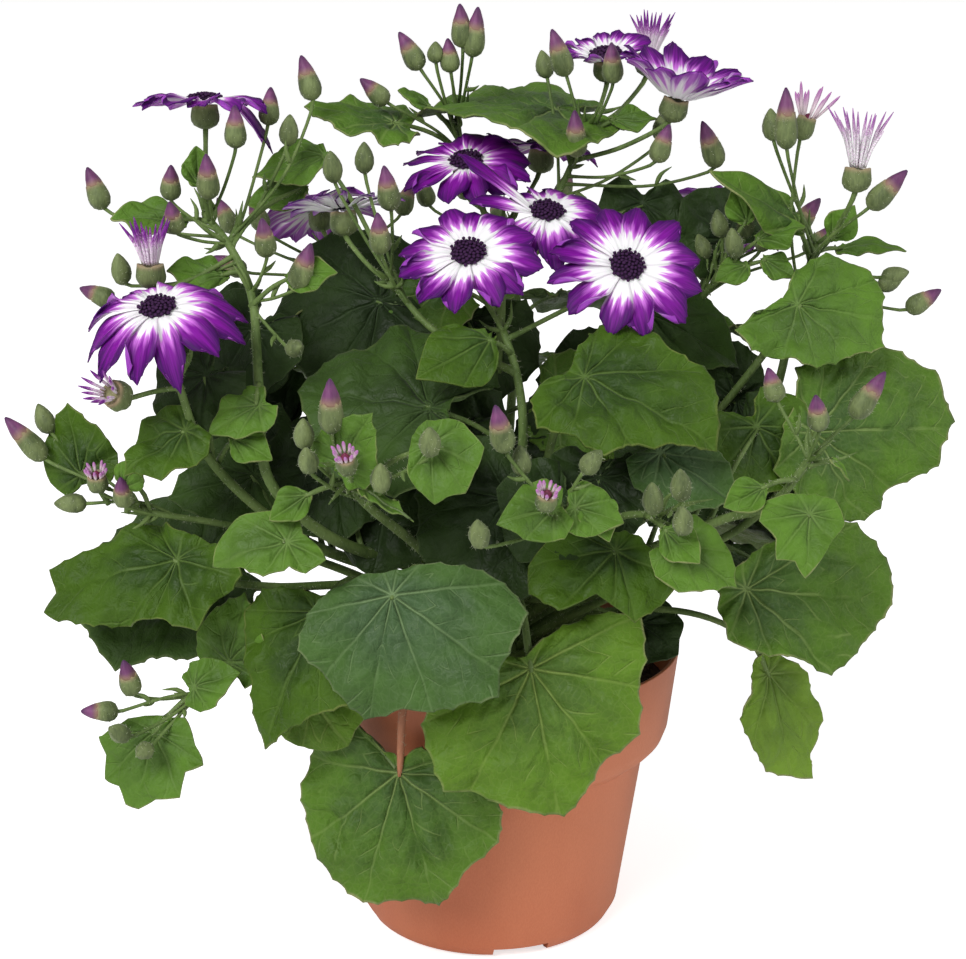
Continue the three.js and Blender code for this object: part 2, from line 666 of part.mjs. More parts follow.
        buds: [[[-8, 78, 242], [-12, 84, 254]], [[26, 84, 240], [30, 92, 251]],
          [[4, 92, 230], [2, 104, 238]], [[-22, 72, 240], [-26, 74, 252]]],
      },
    ],
    leaves: [
      { from: [8, 56, 176], at: [-6, 82, 184], tip: [-22, 120, 174], face: [-0.1, 0.5, 0.85],
        outline: BROAD },
      { from: [10, 62, 200], at: [26, 84, 206], tip: [44, 116, 200], face: [0.2, 0.5, 0.84],
        outline: BROAD },
    ],
  },
  {
    name: 'stem_back_right',
    root: 106,
    path: [[18, 18, 128], [48, 34, 166], [68, 44, 198], [78, 46, 222]],
    sprays: [
      {
        fork: [78, 46, 222],
        flowers: ['flower_back_right'],
        buds: [[[112, 50, 226], [122, 54, 235]], [[104, 30, 236], [112, 26, 248]],
          [[54, 64, 236], [50, 70, 248]], [[86, 86, 214], [91, 98, 222]]],
      },
    ],
    leaves: [
      { from: [50, 35, 170], at: [78, 56, 176], tip: [110, 82, 164], face: [0.4, 0.4, 0.82],
        outline: BROAD },
      { from: [68, 44, 198], at: [98, 42, 198], tip: [138, 48, 188], face: [0.4, 0.1, 0.9],
        outline: BROAD },
    ],
  },
];

// ---------------------------------------------------------------- flowers

// A flower sits on its stem's fork. `at` is the middle of its ray petals, `axis` the way it
// faces, `reach` the petal length. `lift` raises the petals and `fall` bends their ends back.
// Quilled flowers are still half rolled: their few rays are narrow and stand up.
const FLOWERS = [
  { name: 'flower_front_right', at: [42, -36, 234],
    axis: [0.1, -0.75, 0.66], reach: 24.5, lift: 0.12, fall: 0.2, turn: 10 },
  { name: 'flower_front_left', at: [-7, -36, 238],
    axis: [-0.05, -0.62, 0.78], reach: 22.5, lift: 0.1, fall: 0.25, turn: 24 },
  { name: 'flower_middle', at: [18, -14, 248],
    axis: [0.05, -0.45, 0.9], reach: 22, lift: 0, fall: 0.45, turn: 0 },
  { name: 'flower_upper_middle', at: [-8, 8, 262],
    axis: [-0.05, -0.42, 0.9], reach: 22, lift: 0.1, fall: 0.3, turn: 14 },
  { name: 'flower_rear_middle', at: [18, 42, 264],
    axis: [0.1, 0.15, 1], reach: 20, lift: 0.1, fall: 0.25, turn: 4 },
  { name: 'flower_left', at: [-98, -66, 226],
    axis: [-0.1, -0.42, 0.9], reach: 24.5, lift: 0.1, fall: 0.55, turn: 18 },
  { name: 'flower_top_left', at: [-92, 2, 282],
    axis: [0, 0.05, 1], reach: 22, lift: 0.1, fall: 0.2, turn: 8 },
  { name: 'flower_top_right', at: [60, 0, 284],
    axis: [0.25, -0.15, 1], reach: 22, lift: 0.75, fall: 0.1, turn: 0 },
  { name: 'flower_top', at: [39, 34, 295],
    axis: [-0.1, -0.3, 1], reach: 15, lift: 0.55, fall: 0.2, turn: 6 },
  { name: 'flower_pale', at: [-48, -2, 248],
    axis: [-0.1, 0.25, 1], reach: 20, lift: 0.35, fall: 0.2, turn: 2 },
  { name: 'flower_back_left', at: [-62, 68, 240],
    axis: [-0.2, 0.5, 0.85], reach: 23, lift: 0.1, fall: 0.3, turn: 11 },
  { name: 'flower_back_right', at: [84, 56, 240],
    axis: [0.25, 0.5, 0.85], reach: 23, lift: 0.1, fall: 0.3, turn: 20 },
];

const QUILL = { petals: 8, width: 2.2, root: 2.6, lift: 1.6, fall: 0.3, turn: 0 };
const QUILLED = [
  { name: 'quilled_top', at: [56, 58, 296],
    axis: [0.1, 0, 1], reach: 13, ...QUILL },
  { name: 'quilled_left', at: [-104, -42, 237],
    axis: [0, -0.1, 1], reach: 12, ...QUILL },
  { name: 'quilled_low_left', at: [-112, -76, 203],
    axis: [-0.4, -0.8, 0.4], reach: 7, ...QUILL },
  { name: 'quilled_right', at: [115, -20, 264],
    axis: [0.05, 0, 1], reach: 17, ...QUILL },
];

const OPEN_FLOWERS = [...FLOWERS, ...QUILLED];

// The rays of an open flower meet in the middle under the eye. Each is tilted a little, so
// that one edge lies over the next ray and the other edge under the one before.
function rays(flower) {
  const { at, axis, reach, lift, fall, turn } = flower;
  const frame = frameAlong(vec(at), vec(axis));
  const { petals, root, tile, width, uneven, stations } = { ...RAY, ...flower };
  const middle = new THREE.Vector3(0, 0, 0);
  const top = [middle];
  const bottom = [middle.clone().setZ(-PETAL_THICKNESS)];
  const faces = [];
  const rim = [];
  const step = (2 * Math.PI) / petals;
  const cornerAt = (i) => 1 + ((i + petals) % petals);
  for (let i = 0; i < petals; i += 1) {
    const angle = THREE.MathUtils.degToRad(turn) + (i - 0.5) * step;
    top.push(new THREE.Vector3(root * Math.cos(angle), root * Math.sin(angle), 0));
    bottom.push(top[top.length - 1].clone().setZ(-PETAL_THICKNESS));
  }
  for (let i = 0; i < petals; i += 1) {
    const angle = THREE.MathUtils.degToRad(turn) + i * step;
    const out = new THREE.Vector3(Math.cos(angle), Math.sin(angle), 0);
    const across = new THREE.Vector3(-Math.sin(angle), Math.cos(angle), tile);
    const length = reach * (1 - uneven + uneven * Math.sin(5 * i + turn)) - root;
    const first = top.length;
    for (const [share, breadth] of stations) {
      const slope = lift - 2 * fall * share;
      const under = new THREE.Vector3(slope * out.x, slope * out.y, -1).normalize();
      const centre = out.clone().multiplyScalar(root + length * share);
      centre.z = length * (lift * share - fall * share * share);
      for (const side of [-1, 1]) {
        const point = centre.clone().addScaledVector(across, side * breadth * width / 2);
        top.push(point);
        bottom.push(point.clone().addScaledVector(under, PETAL_THICKNESS));
      }
    }
    const [a, b] = [cornerAt(i), cornerAt(i + 1)];
    faces.push([0, a, b], [a, first, first + 1], [a, first + 1, b]);
    faces.push([first, first + 2, first + 3], [first, first + 3, first + 1]);
    rim.push(a, first, first + 2, first + 3, first + 1);
  }
  [...top, ...bottom].forEach((point) => point.applyMatrix4(frame));
  return sheet(top, bottom, faces, rim);
}

function eye(flower) {
  const axis = vec(flower.axis).normalize();
  const seat = vec(flower.at).addScaledVector(axis, CLEARANCE);
  const { radius, height, sides } = EYE;
  const profile = [[0, 0], [radius * 0.9, 0], [radius * 0.8, height], [0, height * 0.9]];
  return turned(profile, sides, frameAlong(seat, axis));
}

// ---------------------------------------------------------------- building the stems

// A thin stalk leaves its stem upwards and ends in line with what it carries. The end form
// gives the stations past its foot as [distance, radius].
function carried(start, end, axis, radius, endForm, sides) {
  const span = start.distanceTo(end);
  const bend = start.clone().lerp(end, STALK.bendAt).addScaledVector(axis, -STALK.sag * span);
  bend.z += STALK.rise * span;
  const stations = [start, bend, end];
  const radii = [radius, radius * 0.9, radius * 0.9];
  for (const [distance, swell] of endForm) {
    stations.push(end.clone().addScaledVector(axis, distance));
    radii.push(swell);
  }
  return swept(stations, radii, sides);
}

function budOnStalk(place, { foot, tip }) {
  const axis = vec(tip).sub(vec(foot));
  const length = axis.length();
  const radius = BUD.radius * (0.6 + 0.4 * Math.min(1, length / BUD.length));
  const form = [[BUD.widestAt * length, radius], [length, radius * BUD.tipShare]];
  return carried(place, vec(foot), axis.normalize(), BUD.stalkRadius, form, BUD.sides);
}

function cupOnStalk(place, flower) {
  const axis = vec(flower.axis).normalize();
  const { radius, length, widestAt, rimShare, stalkRadius, sides } = CUP;
  const gap = PETAL_THICKNESS + CLEARANCE;
  const foot = vec(flower.at).addScaledVector(axis, -gap - length);
  const form = [[widestAt * length, radius], [length, radius * rimShare]];
  return carried(place, foot, axis, stalkRadius, form, sides);
}

// Side stalks leave a stem one below the other, the highest first.
function placesDown(curve, fork, count) {
  const samples = 60;
  const distances = curve.getSpacedPoints(samples).map((point) => point.distanceTo(fork));
  const highest = distances.indexOf(Math.min(...distances)) / samples;
  const step = STALK.spacing / curve.getLength();
  return [...Array(count).keys()].map((i) => curve.getPointAt(Math.max(highest - i * step, 0)));
}

function floweringStem(stem) {
  const { path, root, sprays, leaves } = stem;
  const start = crownPlace(path[0], root);
  const points = [start, ...path.map(vec)];
  const solids = [stalk(points, ...STEM.radii, STEM.steps, STEM.sides)];
  const mainCurve = new THREE.CatmullRomCurve3(points, false, 'centripetal');
  for (const { fork, via, buds, flowers = [] } of sprays) {
    let curve = mainCurve;
    if (via) {
      const branch = [vec(fork), ...via.map(vec)];
      curve = new THREE.CatmullRomCurve3(branch, false, 'centripetal');
      solids.push(stalk(branch, ...STEM.branchRadii, 2 * via.length, STEM.sides));
    }
    const carriedHere = [
      ...buds.map(([foot, tip]) => ({ foot, tip })),
      ...flowers.map((name) => OPEN_FLOWERS.find((flower) => flower.name === name)),
    ];
    carriedHere.sort((a, b) => (b.foot || b.at)[2] - (a.foot || a.at)[2]);
    const places = placesDown(curve, vec(via ? via[via.length - 1] : fork), carriedHere.length);
    carriedHere.forEach((item, i) => {
      solids.push(item.foot ? budOnStalk(places[i], item) : cupOnStalk(places[i], item));
    });
  }
  for (const leaf of leaves) {
    solids.push(stemLeaf(leaf));
  }
  return fuse(solids);
}

// ---------------------------------------------------------------- pot, soil and crown

// The inside of the pot from its rim down to its floor, drawn in by a gap.
function potInside(gap) {
  const { height, rimRadius, bandRadius, bandHeight, neckRadius, neckDrop } = POT;
  const ledge = height - bandHeight;
  return [[rimRadius - gap, height], [bandRadius - gap, ledge + 1],
    [neckRadius - gap, ledge - neckDrop + 1], [POT.footRadius - gap, POT.footHeight + 1]];
}

function potSolid() {
  const { height, rimRadius, bandRadius, bandHeight, baseRadius, baseEdge, floor } = POT;
  const ledge = height - bandHeight;
  const outside = [[0, 0], [baseRadius - baseEdge, 0], [baseRadius, baseEdge * 0.3],
    [POT.footRadius, POT.footHeight], [POT.neckRadius, ledge - POT.neckDrop],
    [POT.shoulderRadius, ledge - POT.shoulderDrop], [bandRadius, ledge], [rimRadius, height]];
  const profile = [...outside, ...potInside(POT.wall), [baseRadius - 3, floor], [0, floor]];
  let solid = turned(profile, POT.sides, new THREE.Matrix4());
  for (let i = 0; i < POT.notches; i += 1) {
    const angle = THREE.MathUtils.degToRad(POT.firstNotch + (i * 360) / POT.notches);
    const notch = new THREE.BoxGeometry(POT.notchDepth, POT.notchWidth, 2 * POT.notchHeight);
    notch.translate(baseRadius + 1, 0, 0);
    notch.rotateZ(angle);
    const hole = new THREE.CylinderGeometry(POT.holeRadius, POT.holeRadius, 3 * floor, 8);
    hole.rotateX(Math.PI / 2);
    hole.translate(POT.holeCircle * Math.cos(angle), POT.holeCircle * Math.sin(angle), floor);
    solid = solid.subtract(solidOf(notch)).subtract(solidOf(hole));
  }
  return solid;
}

// The soil fills the pot and rises to a low mound with lumps, round a hole for the crown.
function soilSolid() {
  const { edgeHeight, moundHeight, slopeRadius, topRadius, lump } = SOIL;
  const [rim, band, neck, foot] = potInside(POT.wall + CLEARANCE);
  const edge = [(rim[0] + band[0]) / 2 - 0.5, edgeHeight - 1.5];
  const hole = CROWN.radius + CLEARANCE;
  const underneath = POT.notchHeight + POT.wall + CLEARANCE;
  const top = edgeHeight + moundHeight;
  const seat = CROWN.bottom - CLEARANCE;
  const profile = [[0, underneath], [POT.baseRadius - POT.baseEdge, underneath],
    [foot[0], foot[1] + 2], [neck[0], neck[1] + 0.4], [band[0], band[1] + 0.4], edge,
    [slopeRadius, edgeHeight + moundHeight / 2], [topRadius, top], [hole, top], [hole, seat],
    [0, seat]];
  const points = profile.map(([radius, height]) => new THREE.Vector2(radius, height));
  const geometry = new THREE.LatheGeometry(points, POT.sides);
  geometry.rotateX(Math.PI / 2);
  const position = geometry.attributes.position;
  for (let i = 0; i < position.count; i += 1) {
    const x = position.getX(i);
    const y = position.getY(i);
    const onMound = position.getZ(i) > edgeHeight - 0.5 && Math.hypot(x, y) > hole + 1;
    if (onMound) {
      const height = lump * Math.sin(x * 0.31 + y * 0.2) * Math.cos(y * 0.27 - x * 0.12);
      position.setZ(i, position.getZ(i) + height);
    }
  }
  return solidOf(geometry);
}

function crownSolid(grow) {
  const { radius, neckRadius, bottom, top, shoulder, sides } = CROWN;
  return turned([[0, bottom - grow], [radius + grow, bottom - grow], [radius + grow, shoulder],
    [neckRadius + grow, top - 3], [0, top + grow]], sides, new THREE.Matrix4());
}

// ---------------------------------------------------------------- the plant in its pot

const group = new THREE.Group();
group.add(meshOf('pot', potSolid(), '#b9714f', 0.55));
group.add(meshOf('potting_soil', soilSolid(), '#2b1d14', 0.95));
group.add(meshOf('crown', crownSolid(0), PALE_GREEN, 0.7));

const crownSpace = crownSolid(CLEARANCE);
for (const leaf of CROWN_LEAVES) {
  const from = crownPlace(leaf.via[0], leaf.root).toArray();
  const solid = leafWithStalk({ from, ...leaf }).subtract(crownSpace);
  group.add(meshOf(leaf.name, solid, GREEN, 0.6));
}
for (const stem of STEMS) {
  group.add(meshOf(stem.name, floweringStem(stem).subtract(crownSpace), PALE_GREEN, 0.65));
}
for (const flower of FLOWERS) {
  group.add(meshOf(`${flower.name}_rays`, rays(flower), PURPLE, 0.6));
  group.add(meshOf(`${flower.name}_eye`, eye(flower), EYE_PURPLE, 0.8));
}
for (const flower of QUILLED) {
  group.add(meshOf(`${flower.name}_rays`, rays(flower), PURPLE, 0.6));
}

export default group;
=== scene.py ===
import math
import random

import bpy
import numpy as np
from mathutils import Matrix, Vector
from mathutils.geometry import interpolate_bezier


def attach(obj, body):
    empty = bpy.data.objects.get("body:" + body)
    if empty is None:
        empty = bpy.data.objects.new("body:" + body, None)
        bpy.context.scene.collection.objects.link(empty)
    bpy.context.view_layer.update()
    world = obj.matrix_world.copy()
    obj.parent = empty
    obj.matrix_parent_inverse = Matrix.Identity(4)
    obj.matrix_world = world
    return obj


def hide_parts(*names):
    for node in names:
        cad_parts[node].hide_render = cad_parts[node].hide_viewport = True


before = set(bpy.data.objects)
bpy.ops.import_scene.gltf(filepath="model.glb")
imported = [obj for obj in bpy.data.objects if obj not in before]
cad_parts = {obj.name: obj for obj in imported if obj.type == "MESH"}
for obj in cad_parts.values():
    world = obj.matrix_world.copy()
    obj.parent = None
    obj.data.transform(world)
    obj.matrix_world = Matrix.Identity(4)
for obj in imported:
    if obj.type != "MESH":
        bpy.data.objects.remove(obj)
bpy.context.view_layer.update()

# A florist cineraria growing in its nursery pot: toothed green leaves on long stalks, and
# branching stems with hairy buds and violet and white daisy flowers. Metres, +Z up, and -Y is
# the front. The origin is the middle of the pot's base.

# ---------------------------------------------------------------- studio
# A pale seamless floor under an even white sky, one large soft light in front and above, and a
# weaker one from the side. The camera stands a little above the plant and looks down on it.

IMAGE_WIDTH = 966
FOCAL_PIXELS = 1835
SENSOR_WIDTH = 36.0
CAMERA_PLACE = (-0.0024, -0.6, 0.317)
CAMERA_PITCH = 15
FLOOR_SIZE = 80
SKY_LIGHT = 0.38                 # on the plant, and below it, what the camera sees of the sky
SKY_SEEN = 1.0
FLOOR_SEEN = 0.66                # what the white floor gives back besides the light on it
LAMPS = {                        # place, aim, size in metres, watts
    "key_light": ((-0.7, -1.2, 1.25), (0.0, 0.0, 0.16), 0.8, 23),
    "side_light": ((1.3, -0.5, 0.8), (0.0, 0.0, 0.16), 0.8, 6),
}


def srgb(red, green, blue):
    """A colour as a paint card gives it, 0 to 255, in the renderer's linear light."""
    shares = [value / 255 for value in (red, green, blue)]
    return (*(s / 12.92 if s < 0.04 else ((s + 0.055) / 1.055) ** 2.4 for s in shares), 1.0)


def node(tree, kind, values=None, **settings):
    """Adds a shader node. values maps an input to a value or to the socket that feeds it."""
    made = tree.nodes.new("ShaderNode" + kind)
    for key, value in settings.items():
        setattr(made, key, value)
    for key, value in (values or {}).items():
        if isinstance(value, bpy.types.NodeSocket):
            tree.links.new(value, made.inputs[key])
        else:
            made.inputs[key].default_value = value
    return made


def surface(name, roughness, **constants):
    """A material with its own shader, whose plain values are set on the shader itself."""
    material = bpy.data.materials.new(name)
    material.use_nodes = True
    shader = material.node_tree.nodes["Principled BSDF"]
    shader.inputs["Roughness"].default_value = roughness
    for key, value in constants.items():
        shader.inputs[key.replace("_", " ")].default_value = value
    return material, material.node_tree, shader


bpy.ops.object.select_all(action="DESELECT")
bpy.ops.mesh.primitive_plane_add(size=FLOOR_SIZE)
floor = bpy.context.object
floor.name = "studio_floor"
floor_finish, floor_tree, floor_shader = surface("studio_floor", 0.9)
floor_speck = node(floor_tree, "TexNoise", {"Scale": 30.0})
floor_tone = node(floor_tree, "MapRange", {0: floor_speck.outputs[0], 3: 0.93, 4: 0.96})
floor_tree.links.new(floor_tone.outputs[0], floor_shader.inputs["Base Color"])
floor_seen = node(floor_tree, "LightPath").outputs["Is Camera Ray"]
floor_glow = node(floor_tree, "MapRange", {0: floor_seen, 3: 0.0, 4: FLOOR_SEEN})
floor_shader.inputs["Emission Color"].default_value = (1, 1, 1, 1)
floor_tree.links.new(floor_glow.outputs[0], floor_shader.inputs["Emission Strength"])
floor.data.materials.append(floor_finish)

sky = bpy.data.worlds.new("studio_sky")
sky.use_nodes = True
sky_glow = sky.node_tree.nodes["Background"]
sky_glow.inputs["Color"].default_value = (1, 1, 1, 1)
seen = node(sky.node_tree, "LightPath").outputs["Is Camera Ray"]
sky_power = node(sky.node_tree, "MapRange", {0: seen, 3: SKY_LIGHT, 4: SKY_SEEN})
sky.node_tree.links.new(sky_power.outputs[0], sky_glow.inputs["Strength"])
bpy.context.scene.world = sky

for lamp_name, (place, aim, size, watts) in LAMPS.items():
    bpy.ops.object.light_add(type="AREA", location=place)
    lamp = bpy.context.object
    lamp.name = lamp_name
    lamp.rotation_euler = (Vector(aim) - Vector(place)).to_track_quat("-Z", "Y").to_euler()
    lamp.data.size = size
    lamp.data.energy = watts

bpy.ops.object.camera_add(location=CAMERA_PLACE, rotation=(math.radians(90 - CAMERA_PITCH), 0, 0))
camera = bpy.context.object
camera.name = "camera"
camera.data.sensor_width = SENSOR_WIDTH
camera.data.lens = SENSOR_WIDTH * FOCAL_PIXELS / IMAGE_WIDTH
camera.data.clip_start = 0.01
bpy.context.scene.camera = camera
bpy.context.scene.view_settings.view_transform = "Standard"

# ---------------------------------------------------------------- pot
# A nursery pot, moulded in one piece from terracotta-coloured plastic: a deep collar, a rounded
# slope under it, a tapering body, and a raised floor with four holes. The low foot ring round
# that floor has four drainage notches.

POT_SIDES = 112
POT_WALL = 0.0014
POT_OUTSIDE = [                  # radius, height
    (0.0365, 0.0046), (0.0375, 0.0), (0.039, 0.0), (0.043, 0.0015), (0.0455, 0.006), (0.0538, 0.062),
    (0.0559, 0.0643), (0.0586, 0.066), (0.0606, 0.0682), (0.062, 0.072), (0.0653, 0.099),
]
POT_INSIDE = [
    (0.0653 - POT_WALL, 0.099), (0.062 - POT_WALL, 0.073), (0.0538 - POT_WALL, 0.063),
    (0.0455 - POT_WALL, 0.009), (0.041, 0.0062), (0.030, 0.0062),
]
POT_EDGE = 0.0005                # how far the moulding's edges are rounded
POT_NOTCH = (0.014, 0.019, 0.0086)       # the block that cuts it, half of it under the pot
POT_NOTCH_CIRCLE = 0.042
POT_HOLE_RADIUS = 0.0035
POT_HOLE_CIRCLE = 0.029
POT_HOLE_DEPTH = 0.016
POT_FIRST_NOTCH = -76            # degrees, just right of the front
TERRACOTTA = srgb(206, 124, 86)
TERRACOTTA_DEEP = srgb(190, 106, 70)


def pulled_up(name, sides, profile, turn=0.0):
    """Draws a disc and pulls it up ring by ring through the profile's [radius, height]."""
    bpy.ops.object.select_all(action="DESELECT")
    radius, height = profile[0]
    bpy.ops.mesh.primitive_circle_add(vertices=sides, radius=radius, fill_type="NGON")
    piece = bpy.context.object
    piece.name = name
    bpy.ops.object.mode_set(mode="EDIT")
    bpy.ops.mesh.select_mode(type="FACE")
    bpy.ops.mesh.select_all(action="SELECT")
    bpy.ops.transform.translate(value=(0, 0, height))
    for next_radius, next_height in profile[1:]:
        rise = {"value": (0, 0, next_height - height)}
        bpy.ops.mesh.extrude_region_move(TRANSFORM_OT_translate=rise)
        share = next_radius / radius
        centre = (0, 0, next_height)
        bpy.ops.transform.resize(value=(share, share, 1), center_override=centre)
        if turn:
            bpy.ops.transform.rotate(value=turn, orient_axis="Z", center_override=centre)
        radius, height = next_radius, next_height
    bpy.ops.mesh.select_all(action="SELECT")
    bpy.ops.mesh.normals_make_consistent(inside=False)
    bpy.ops.object.mode_set(mode="OBJECT")
    return piece


def cut_away(piece, cutter):
    """Cuts one piece by another, which is then removed."""
    bpy.context.view_layer.objects.active = piece
    cut = piece.modifiers.new("cut", "BOOLEAN")
    cut.operation = "DIFFERENCE"
    cut.solver = "EXACT"
    cut.object = cutter
    bpy.ops.object.modifier_apply(modifier=cut.name)
    bpy.data.objects.remove(cutter)


def new_group(name, inputs, outputs):
    """An empty effect group: its tree, its input sockets and its output node. A value of four
    numbers makes a colour socket, and so does the output called Color."""
    tree = bpy.data.node_groups.new(name, "ShaderNodeTree")
    for title, value in inputs.items():
        kind = "NodeSocketColor" if isinstance(value, tuple) else "NodeSocketFloat"
        tree.interface.new_socket(title, in_out="INPUT", socket_type=kind).default_value = value
    for title in outputs:
        kind = "NodeSocketColor" if title == "Color" else "NodeSocketFloat"
        tree.interface.new_socket(title, in_out="OUTPUT", socket_type=kind)
    return tree, tree.nodes.new("NodeGroupInput").outputs, tree.nodes.new("NodeGroupOutput")


def between(tree, amount, first, second):
    """The colour between two others."""
    mix = node(tree, "Mix", {0: amount, 6: first, 7: second}, data_type="RGBA")
    return mix.outputs[2]


def ramp(tree, value, low, high, start=0.0, end=1.0):
    """A smooth step from start to end as the value goes from low to high."""
    values = {0: value, 1: low, 2: high, 3: start, 4: end}
    return node(tree, "MapRange", values, interpolation_type="SMOOTHSTEP").outputs[0]


def reckon(tree, operation, first, second=0.0, third=0.0):
    """One sum on two or three shader values."""
    return node(tree, "Math", {0: first, 1: second, 2: third}, operation=operation).outputs[0]


def noise(tree, place, scale, detail, distortion=0.0):
    """A cloudy pattern, 0 to 1."""
    return node(tree, "TexNoise", {"Vector": place, "Scale": scale, "Detail": detail,
                                   "Distortion": distortion}).outputs[0]


def mottle_effect():
    """Uneven colour in soft patches, with a fine grain that both colours and roughens it."""
    white = (1, 1, 1, 1)
    tree, given, out = new_group(
        "mottle", {"Dark": white, "Light": white, "Patches": 40.0, "Grain": 900.0, "Stretch": 1.0},
        ["Color", "Height"])
    split = node(tree, "SeparateXYZ", {0: node(tree, "TexCoord").outputs["Object"]}).outputs
    rise = reckon(tree, "MULTIPLY", split[2], given["Stretch"])
    spot = node(tree, "CombineXYZ", {0: split[0], 1: split[1], 2: rise}).outputs[0]
    patch = noise(tree, spot, given["Patches"], 4.0)
    grain = noise(tree, spot, given["Grain"], 2.0)
    share = reckon(tree, "MULTIPLY_ADD", ramp(tree, grain, 0.3, 0.7), 0.3,
                   ramp(tree, patch, 0.32, 0.68, 0.0, 0.7))
    colour = between(tree, share, given["Dark"], given["Light"])
    tree.links.new(colour, out.inputs["Color"])
    tree.links.new(grain, out.inputs["Height"])
    return tree


MOTTLE = mottle_effect()


def coloured(tree, shader, colour, height=None, relief=0.0, strength=1.0):
    """Gives a shader its colour, and its grain where there is a height."""
    tree.links.new(colour, shader.inputs["Base Color"])
    if height is not None:
        bump = node(tree, "Bump", {"Distance": relief, "Height": height, "Strength": strength})
        tree.links.new(bump.outputs[0], shader.inputs["Normal"])


def mottled(name, dark, light, patches, grain, relief, roughness, stretch=1.0, **constants):
    """A material of uneven colour with a fine grain."""
    material, tree, shader = surface(name, roughness, **constants)
    effect = node(tree, "Group", {"Dark": dark, "Light": light, "Patches": patches, "Grain": grain,
                                  "Stretch": stretch}, node_tree=MOTTLE).outputs
    coloured(tree, shader, effect["Color"], effect["Height"], relief)
    return material


def around(angle, radius, height=0.0):
    """A place by its angle round the middle, its distance from it and its height."""
    return Vector((radius * math.cos(angle), radius * math.sin(angle), height))


pot = pulled_up("nursery_pot", POT_SIDES, POT_OUTSIDE + POT_INSIDE)
bevel = pot.modifiers.new("rounded edges", "BEVEL")
bevel.width = POT_EDGE
bevel.segments = 3
bevel.angle_limit = math.radians(35)
bpy.ops.object.modifier_apply(modifier=bevel.name)
for number in range(4):
    angle = math.radians(POT_FIRST_NOTCH + 90 * number)
    outward = around(angle, 1)
    bpy.ops.mesh.primitive_cube_add(size=1, location=outward * POT_NOTCH_CIRCLE,
                                    rotation=(0, 0, angle))
    bpy.context.object.scale = POT_NOTCH
    cut_away(pot, bpy.context.object)
    bpy.ops.mesh.primitive_cylinder_add(vertices=24, radius=POT_HOLE_RADIUS, depth=POT_HOLE_DEPTH,
                                        location=outward * POT_HOLE_CIRCLE)
    cut_away(pot, bpy.context.object)
bpy.ops.object.select_all(action="DESELECT")
pot.select_set(True)
bpy.ops.object.shade_smooth_by_angle(angle=math.radians(32))
pot.data.materials.clear()
pot.data.materials.append(mottled(
    "terracotta_plastic", TERRACOTTA_DEEP, TERRACOTTA, patches=26, grain=2600, relief=0.00008,
    roughness=0.46, stretch=0.35, Specular_IOR_Level=0.42))
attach(pot, "root")
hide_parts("pot")

# ---------------------------------------------------------------- potting soil
# Dark peat that fills the pot to below its rim, pressed into a low mound round the crown, with
# loose crumbs of peat on top.

SOIL_UNDERSIDE = [(0.036, 0.0068), (0.0432, 0.0108), (0.0518, 0.063)]
SOIL_EDGE = [(0.0598, 0.0735), (0.0611, 0.0835)]
SOIL_TOP = [(0.056, 0.0855), (0.05, 0.0862), (0.044, 0.087), (0.036, 0.0885), (0.028, 0.089),
            (0.02, 0.0892), (0.0134, 0.0892)]
SOIL_HOLE = [(0.0134, 0.0787), (0.005, 0.0787)]
SOIL_LUMP = 0.0016
CRUMBS = 420
CRUMB_REACH = (0.0165, 0.0585)   # nearest and farthest from the middle
CRUMB_SIZE = (0.0006, 0.0019)
CRUMB_HEIGHT = (0.0893, 0.0042, 0.058)   # at the middle, its fall, and where it has fallen so far
PEAT = srgb(38, 27, 20)
PEAT_LIGHT = srgb(74, 54, 40)


def points_of(piece):
    """A mesh's points as rows of numbers."""
    flat = np.empty(len(piece.data.vertices) * 3)
    piece.data.vertices.foreach_get("co", flat)
    return flat.reshape(-1, 3)


def set_points(piece, points):
    """Puts a mesh's points where the rows say."""
    piece.data.vertices.foreach_set("co", np.asarray(points, dtype=float).ravel())
    piece.data.update()


def model_of(piece):
    """Takes a modelled piece as points, faces and marks, to copy it, and removes the piece. Its
    faces are put in order, because extruding can leave them in another one in each run."""
    faces = sorted(list(face.vertices) for face in piece.data.polygons)
    model = dict(points=points_of(piece), faces=faces, finish=[0] * len(faces), marks={})
    bpy.data.objects.remove(piece)
    return model


def copied(model, matrix, finish=None, **marks):
    """A copy of a model, placed by a matrix, with its own finish number and marks."""
    turn = np.array(matrix.to_3x3())
    points = model["points"] @ turn.T + np.array(matrix.translation)
    own = {name: np.broadcast_to(value, len(points)) for name, value in marks.items()}
    numbers = model["finish"] if finish is None else [finish] * len(model["faces"])
    return dict(points=points, faces=model["faces"], finish=numbers,
                marks={**model["marks"], **own})


def set_mark(mesh, mark, values):
    """Writes a number on each of a mesh's points, under the mark's name."""
    layer = mesh.attributes.new(mark, "FLOAT", "POINT")
    layer.data.foreach_set("value", values.astype(np.float32))


def assembled(name, models, finishes, smooth=True):
    """One new piece from many placed models, with the marks that they carry."""
    points, faces, numbers, start = [], [], [], 0
    for model in models:
        points.append(model["points"])
        faces.extend([[start + corner for corner in face] for face in model["faces"]])
        numbers.extend(model["finish"])
        start += len(model["points"])
    mesh = bpy.data.meshes.new(name)
    mesh.from_pydata(np.concatenate(points).tolist(), [], faces)
    mesh.polygons.foreach_set("material_index", numbers)
    mesh.polygons.foreach_set("use_smooth", [smooth] * len(faces))
    for mark in sorted({mark for model in models for mark in model["marks"]}):
        values = [model["marks"].get(mark, np.zeros(len(model["points"]))) for model in models]
        set_mark(mesh, mark, np.concatenate(values))
    for finish in finishes:
        mesh.materials.append(finish)
    mesh.update()
    piece = bpy.data.objects.new(name, mesh)
    bpy.context.collection.objects.link(piece)
    return piece


